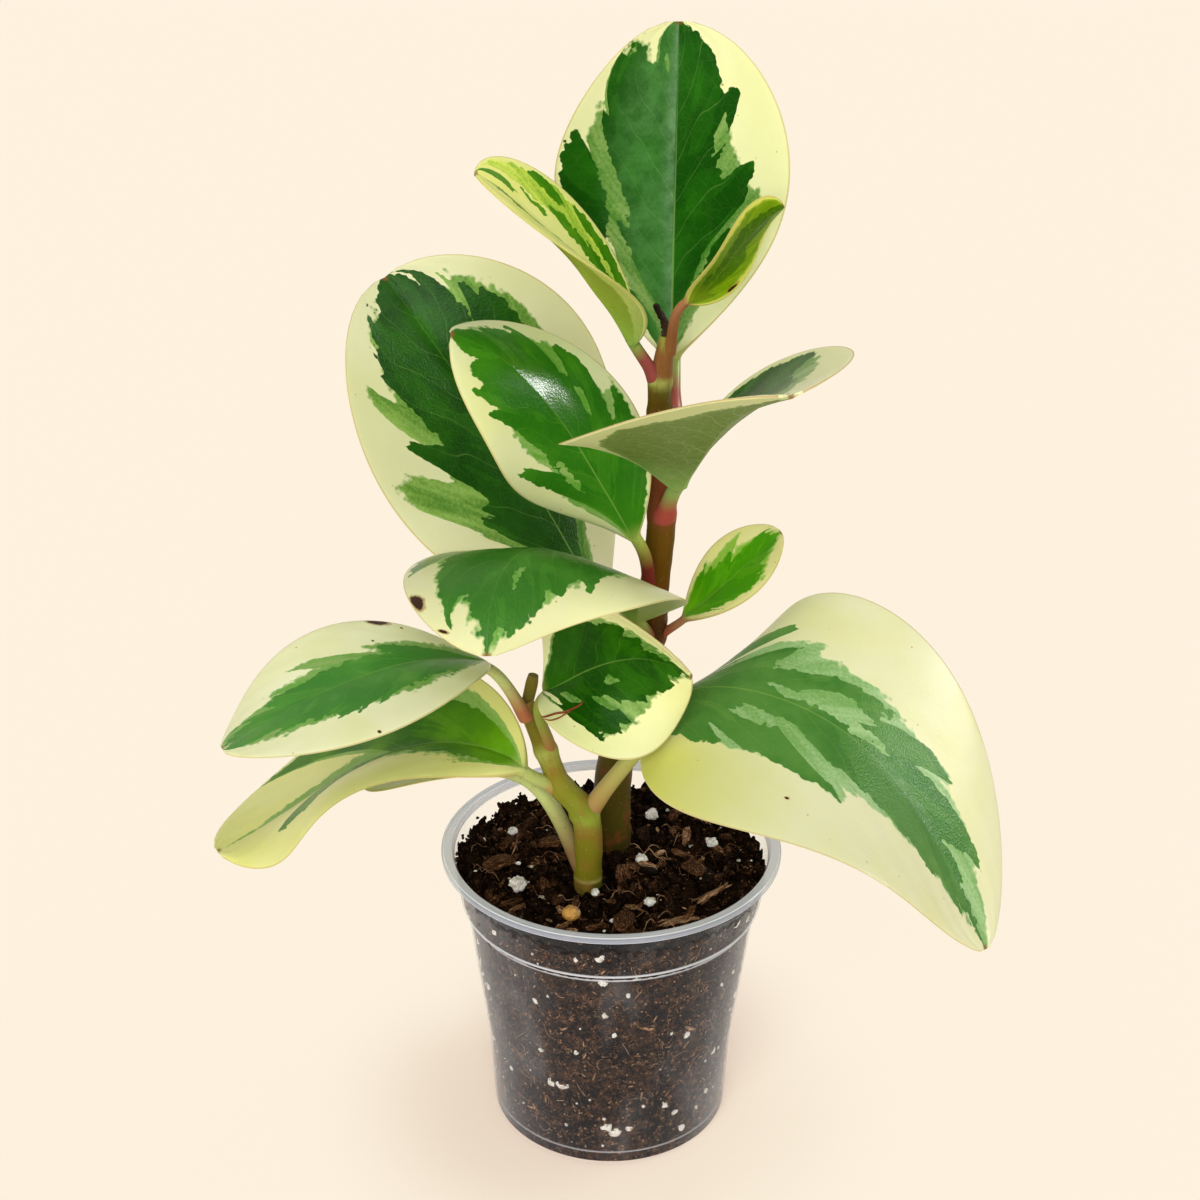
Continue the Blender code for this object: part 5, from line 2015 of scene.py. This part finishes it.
    def build_perlite(self) -> None:
        """Perlite grains over the surface and behind the wall."""
        heap = Heap(seed=29)
        rng = heap.rng
        for _ in range(46):
            size = rng.choice((0.25, 0.35, 0.5, 0.8))
            x, y = self.free_spot(rng, 1.0)
            place = self.top_at(x, y) + Vector((0, 0, size * 0.5))
            heap.add_lump(Matrix.Translation(place), (size, size * 0.8, size * 0.8), 1.0, 1)
        for _ in range(280):
            frame = self.wall_frame(rng, 0.0)
            low = max(0.0, 1.0 - frame.translation.z / 60.0)
            size = rng.choice((0.25, 0.4, 0.6, 0.9, 1.3)) * (1.0 + 0.6 * low ** 2.0)
            if rng.random() > 0.45 + 0.3 * low:
                continue
            inward = Matrix.Translation((0.0, 0.0, -0.12 - size * 0.5))
            heap.add_lump(frame @ inward, (size * rng.uniform(0.9, 1.4), size, size * 0.5), 1.0, 2, 0.16)
        heap.finish("perlite_litter", "perlite", PERLITE.material("perlite_litter"))


@dataclass(frozen=True)
class LooseGrain:
    """A grain or chip that lies on the soil, finely modelled from its node's own mesh."""
    node: str
    source: Piece
    slot: str
    finish: object
    lobes: float
    seed: int
    shade: float = 0.5

    def frame(self) -> tuple[Vector, Vector, float]:
        """The node's centre, its long direction and its half length, in metres.

        Returns:
            The centre, the direction and the half length.
        """
        spots = [vert.co.copy() for vert in self.source.data.vertices]
        centre = sum(spots, Vector()) / len(spots)
        far = max(spots, key=lambda spot: (spot - centre).length)
        return centre, (far - centre).normalized(), (far - centre).length

    def build(self) -> Piece:
        """Model the grain: the node's mesh, divided and roughened.

        Returns:
            The grain.
        """
        bm = bmesh.new()
        bm.from_mesh(self.source.data)
        bmesh.ops.remove_doubles(bm, verts=bm.verts[:], dist=1e-6)
        bmesh.ops.subdivide_edges(bm, edges=bm.edges[:], cuts=4, use_grid_fill=True, smooth=0.5)
        bmesh.ops.triangulate(bm, faces=bm.faces[:])
        centre, axis, size = self.frame()
        shade = bm.verts.layers.float.new("shade")
        grain = bm.verts.layers.float_vector.new("grain")
        turn = axis.to_track_quat("X", "Z").to_matrix().inverted()
        for vert in bm.verts:
            spot = (vert.co - centre) / size
            cells = noise.voronoi(spot * 1.5 + Vector((self.seed, 0.0, 0.0)))[0]
            push = 0.55 - cells[0]
            push += 0.35 * noise.noise(spot * 5.0 + Vector((0.0, self.seed, 0.0)))
            vert[shade] = self.shade
            vert[grain] = turn @ (vert.co - centre) / MM
            vert.co += (vert.co - centre) * push * self.lobes
        item = finish_mesh(self.node + "_grain", bm, 50.0)
        item.data.materials.append(self.finish.material(self.node + "_face"))
        attach(item, self.slot, self.node)
        return item

    def build_bundle(self) -> object:
        """Model a sliver as a bundle of torn strands.

        Returns:
            The sliver.
        """
        centre, axis, size = self.frame()
        heap = Heap(self.seed)
        rng = heap.rng
        side = axis.cross(Vector((0, 0, 1))).normalized()
        sway = rng.uniform(-0.22, 0.22)
        for _ in range(20):
            across = rng.gauss(0.0, 0.34)
            lift = rng.uniform(-0.25, 0.45)
            start, end = rng.uniform(-1.0, -0.5), rng.uniform(0.4, 1.0)
            centres = []
            for step in range(6):
                share = start + (end - start) * step / 5
                wave = sway * size / MM * (1.0 - share ** 2) + rng.gauss(0.0, 0.16)
                spread = across * (1.0 + 1.2 * share ** 2)
                spot = centre / MM + axis * share * size / MM + side * (spread + wave)
                arch = 0.5 * (1.0 - share ** 2)
                centres.append(spot + Vector((0, 0, lift + arch + rng.gauss(0.0, 0.16))))
            heap.add_strand(centres, rng.uniform(0.12, 0.28), self.shade + rng.uniform(-0.16, 0.2))
        return heap.finish(self.node + "_bundle", self.slot, self.finish.material(self.node + "_face"),
                           self.node)


def build_loose(nodes: dict) -> list[Piece]:
    """Model every grain, chip and sliver that is a node of its own.

    Args:
        nodes: The part's nodes by name.

    Returns:
        The pieces, in the nodes' order.
    """
    kinds = (
        ("perlite_", "perlite", PERLITE, 0.55, 1.0), ("bark_chip_", "bark", LitterFinish(), 0.3, 0.5),
        ("wood_sliver_", "wood", LitterFinish(), 0.0, 0.8), ("amber_", "amber", AMBER, 0.12, 1.0),
    )
    made = []
    for index, node in enumerate(sorted(nodes)):
        for prefix, slot, finish, lobes, shade in kinds:
            if node.startswith(prefix):
                grain = LooseGrain(node, nodes[node], slot, finish, lobes, index + 3, shade)
                made.append(grain.build_bundle() if slot == "wood" else grain.build())
    return made


THREAD: tuple[Pairs, Pairs] = (
    ((0.09, 0.99), (0.11, 0.9), (0.15, 0.68), (0.2, 0.57), (0.27, 0.43), (0.285, 0.38)),
    ((0.1, 0.99), (0.135, 0.88), (0.17, 0.72), (0.2, 0.6), (0.22, 0.55)),
)


def build_thread(form: LeafForm) -> Piece:
    """A dried thread that lies over the base lobe of a leaf.

    Args:
        form: The leaf's shape.

    Returns:
        The thread.
    """
    heap = Heap(seed=5)
    midrib = form.midrib()
    for path, radius in zip(THREAD, (0.28, 0.18)):
        centres = []
        for share, out in path:
            centre = midrib[round(share * (len(midrib) - 1))]
            spot = form.blade_point(share, out, True, centre)
            centres.append(spot + form.axes(share)[2] * 0.35)
        heap.add_strand(centres, radius, 0.55)
    finish = LitterFinish(stops=(
        (0.0, (0.07, 0.012, 0.004)), (0.6, (0.36, 0.1, 0.035)), (1.0, (0.6, 0.32, 0.14))))
    return heap.finish("dried_thread", "dry_bud", finish.material("dried_thread"))


# ---- studio ------------------------------------------------------------------------------
@dataclass
class Studio:
    """The floor, the soft lights and the camera."""
    backdrop: Colour = (0.991, 0.888, 0.737)
    camera_at: Three = (0.0, -0.463, 0.369)
    camera_pitch: float = 25.1
    camera_turn: float = 0.4
    camera_roll: float = 0.22
    focal: float = 61.2
    sensor: float = 36.0
    ambient: float = 0.36
    floor_light: float = 0.802
    shadow_tint: Colour = (0.8, 1.0, 1.0)
    shadow_near: float = 0.04
    shadow_far: float = 0.088

    def build(self) -> None:
        """Set up the floor, the world, the lights and the camera."""
        self.build_floor()
        self.build_world()
        self.add_sun("front", azimuth=-100.0, elevation=25.0, strength=2.15, spread=50.0)
        self.add_sun("key", azimuth=8.0, elevation=42.0, strength=0.5, spread=34.0)
        self.add_sun("top", azimuth=120.0, elevation=75.0, strength=0.15, spread=60.0)
        glint = self.add_sun("glint", azimuth=16.0, elevation=20.0, strength=3.2, spread=22.0)
        glint.visible_diffuse = False       # it only adds gloss
        self.add_camera()
        bpy.context.scene.view_settings.view_transform = "Standard"

    def build_floor(self) -> None:
        """A wide pale floor. Near the plant it takes the shadow, further out it hardly does."""
        bm = bmesh.new()
        bmesh.ops.create_grid(bm, x_segments=1, y_segments=1, size=8.0)
        floor = finish_mesh("floor", bm)
        w = Wiring("floor")
        x, y, _ = w.split(w.coords)
        share = w.step(w.length(x, y), self.shadow_near, self.shadow_far, 1.0, 0.06)
        tinted = tuple(value * part for value, part in zip(self.backdrop, self.shadow_tint))
        lit = w.blend(share, (0.0, 0.0, 0.0), tinted)
        level = (self.floor_light, self.floor_light, self.floor_light)
        glow = w.blend(1.0, self.backdrop, w.blend(1.0, lit, level, "MULTIPLY"), "SUBTRACT")
        w.dress(Base_Color=lit, Roughness=1.0, Specular_IOR_Level=0.0, Emission_Color=glow,
                Emission_Strength=1.0)
        floor.data.materials.append(w.material)

    def build_world(self) -> None:
        """Even light all round, with the backdrop's colour where the camera sees it."""
        world = bpy.data.worlds.new("studio")
        world.use_nodes = True
        bpy.context.scene.world = world
        tree = world.node_tree
        tree.nodes.clear()
        light = tree.nodes.new("ShaderNodeBackground")
        light.inputs["Color"].default_value = (1.0, 1.0, 1.0, 1.0)
        light.inputs["Strength"].default_value = self.ambient
        seen = tree.nodes.new("ShaderNodeBackground")
        seen.inputs["Color"].default_value = (*self.backdrop, 1.0)
        path = tree.nodes.new("ShaderNodeLightPath")
        mix = tree.nodes.new("ShaderNodeMixShader")
        out = tree.nodes.new("ShaderNodeOutputWorld")
        shown = path.outputs["Is Camera Ray"]
        for kind in ("Is Glossy Ray", "Is Transmission Ray"):
            either = tree.nodes.new("ShaderNodeMath")
            either.operation = "MAXIMUM"
            tree.links.new(shown, either.inputs[0])
            tree.links.new(path.outputs[kind], either.inputs[1])
            shown = either.outputs[0]
        tree.links.new(shown, mix.inputs[0])
        tree.links.new(light.outputs[0], mix.inputs[1])
        tree.links.new(seen.outputs[0], mix.inputs[2])
        tree.links.new(mix.outputs[0], out.inputs["Surface"])

    def add_sun(self, name: str, azimuth: float, elevation: float, strength: float,
                spread: float) -> Piece:
        """Add a broad soft light.

        Args:
            name: Name of the light.
            azimuth: Direction that it comes from, in degrees from +X towards +Y.
            elevation: Its height above the floor, in degrees.
            strength: Its strength.
            spread: How wide it looks, in degrees.

        Returns:
            The light.
        """
        lamp = bpy.data.lights.new(name, "SUN")
        lamp.energy = strength
        lamp.angle = math.radians(spread)
        item = bpy.data.objects.new(name, lamp)
        level = math.cos(math.radians(elevation))
        place = Vector((
            level * math.cos(math.radians(azimuth)), level * math.sin(math.radians(azimuth)),
            math.sin(math.radians(elevation)),
        ))
        item.location = place
        item.rotation_euler = place.to_track_quat("Z", "Y").to_euler()
        bpy.context.scene.collection.objects.link(item)
        return item

    def add_camera(self) -> None:
        """Add the camera, looking down on the plant from the front."""
        camera = bpy.data.objects.new("camera", bpy.data.cameras.new("camera"))
        camera.data.lens = self.focal
        camera.data.sensor_width = self.sensor
        camera.matrix_world = (
            Matrix.Translation(self.camera_at)
            @ Matrix.Rotation(math.radians(self.camera_turn), 4, "Z")
            @ Matrix.Rotation(math.radians(90.0 - self.camera_pitch), 4, "X")
            @ Matrix.Rotation(math.radians(self.camera_roll), 4, "Z")
        )
        bpy.context.scene.collection.objects.link(camera)
        bpy.context.scene.camera = camera


def main() -> None:
    """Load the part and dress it."""
    logging.basicConfig(level=logging.INFO, format="%(name)s: %(message)s")
    for item in list(bpy.data.objects):
        bpy.data.objects.remove(item, do_unlink=True)
    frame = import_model()
    Studio().build()
    pot = Pot()
    LOG.info("pot: %s", pot.build().name)
    Soil(pot).build()
    for stem in STEMS:
        LOG.info("stem: %s", stem.build().name)
    for leaf in Foliage().build():
        LOG.info("leaf: %s, %d faces", leaf.name, len(leaf.data.polygons))
    shapes = {leaf.node: leaf.form for leaf in LEAVES}
    LOG.info("thread: %s", build_thread(shapes["leaf_low_center"]).name)
    for grain in build_loose(frame["nodes"]):
        LOG.info("grain: %s", grain.name)


if __name__ == "__main__":
    main()
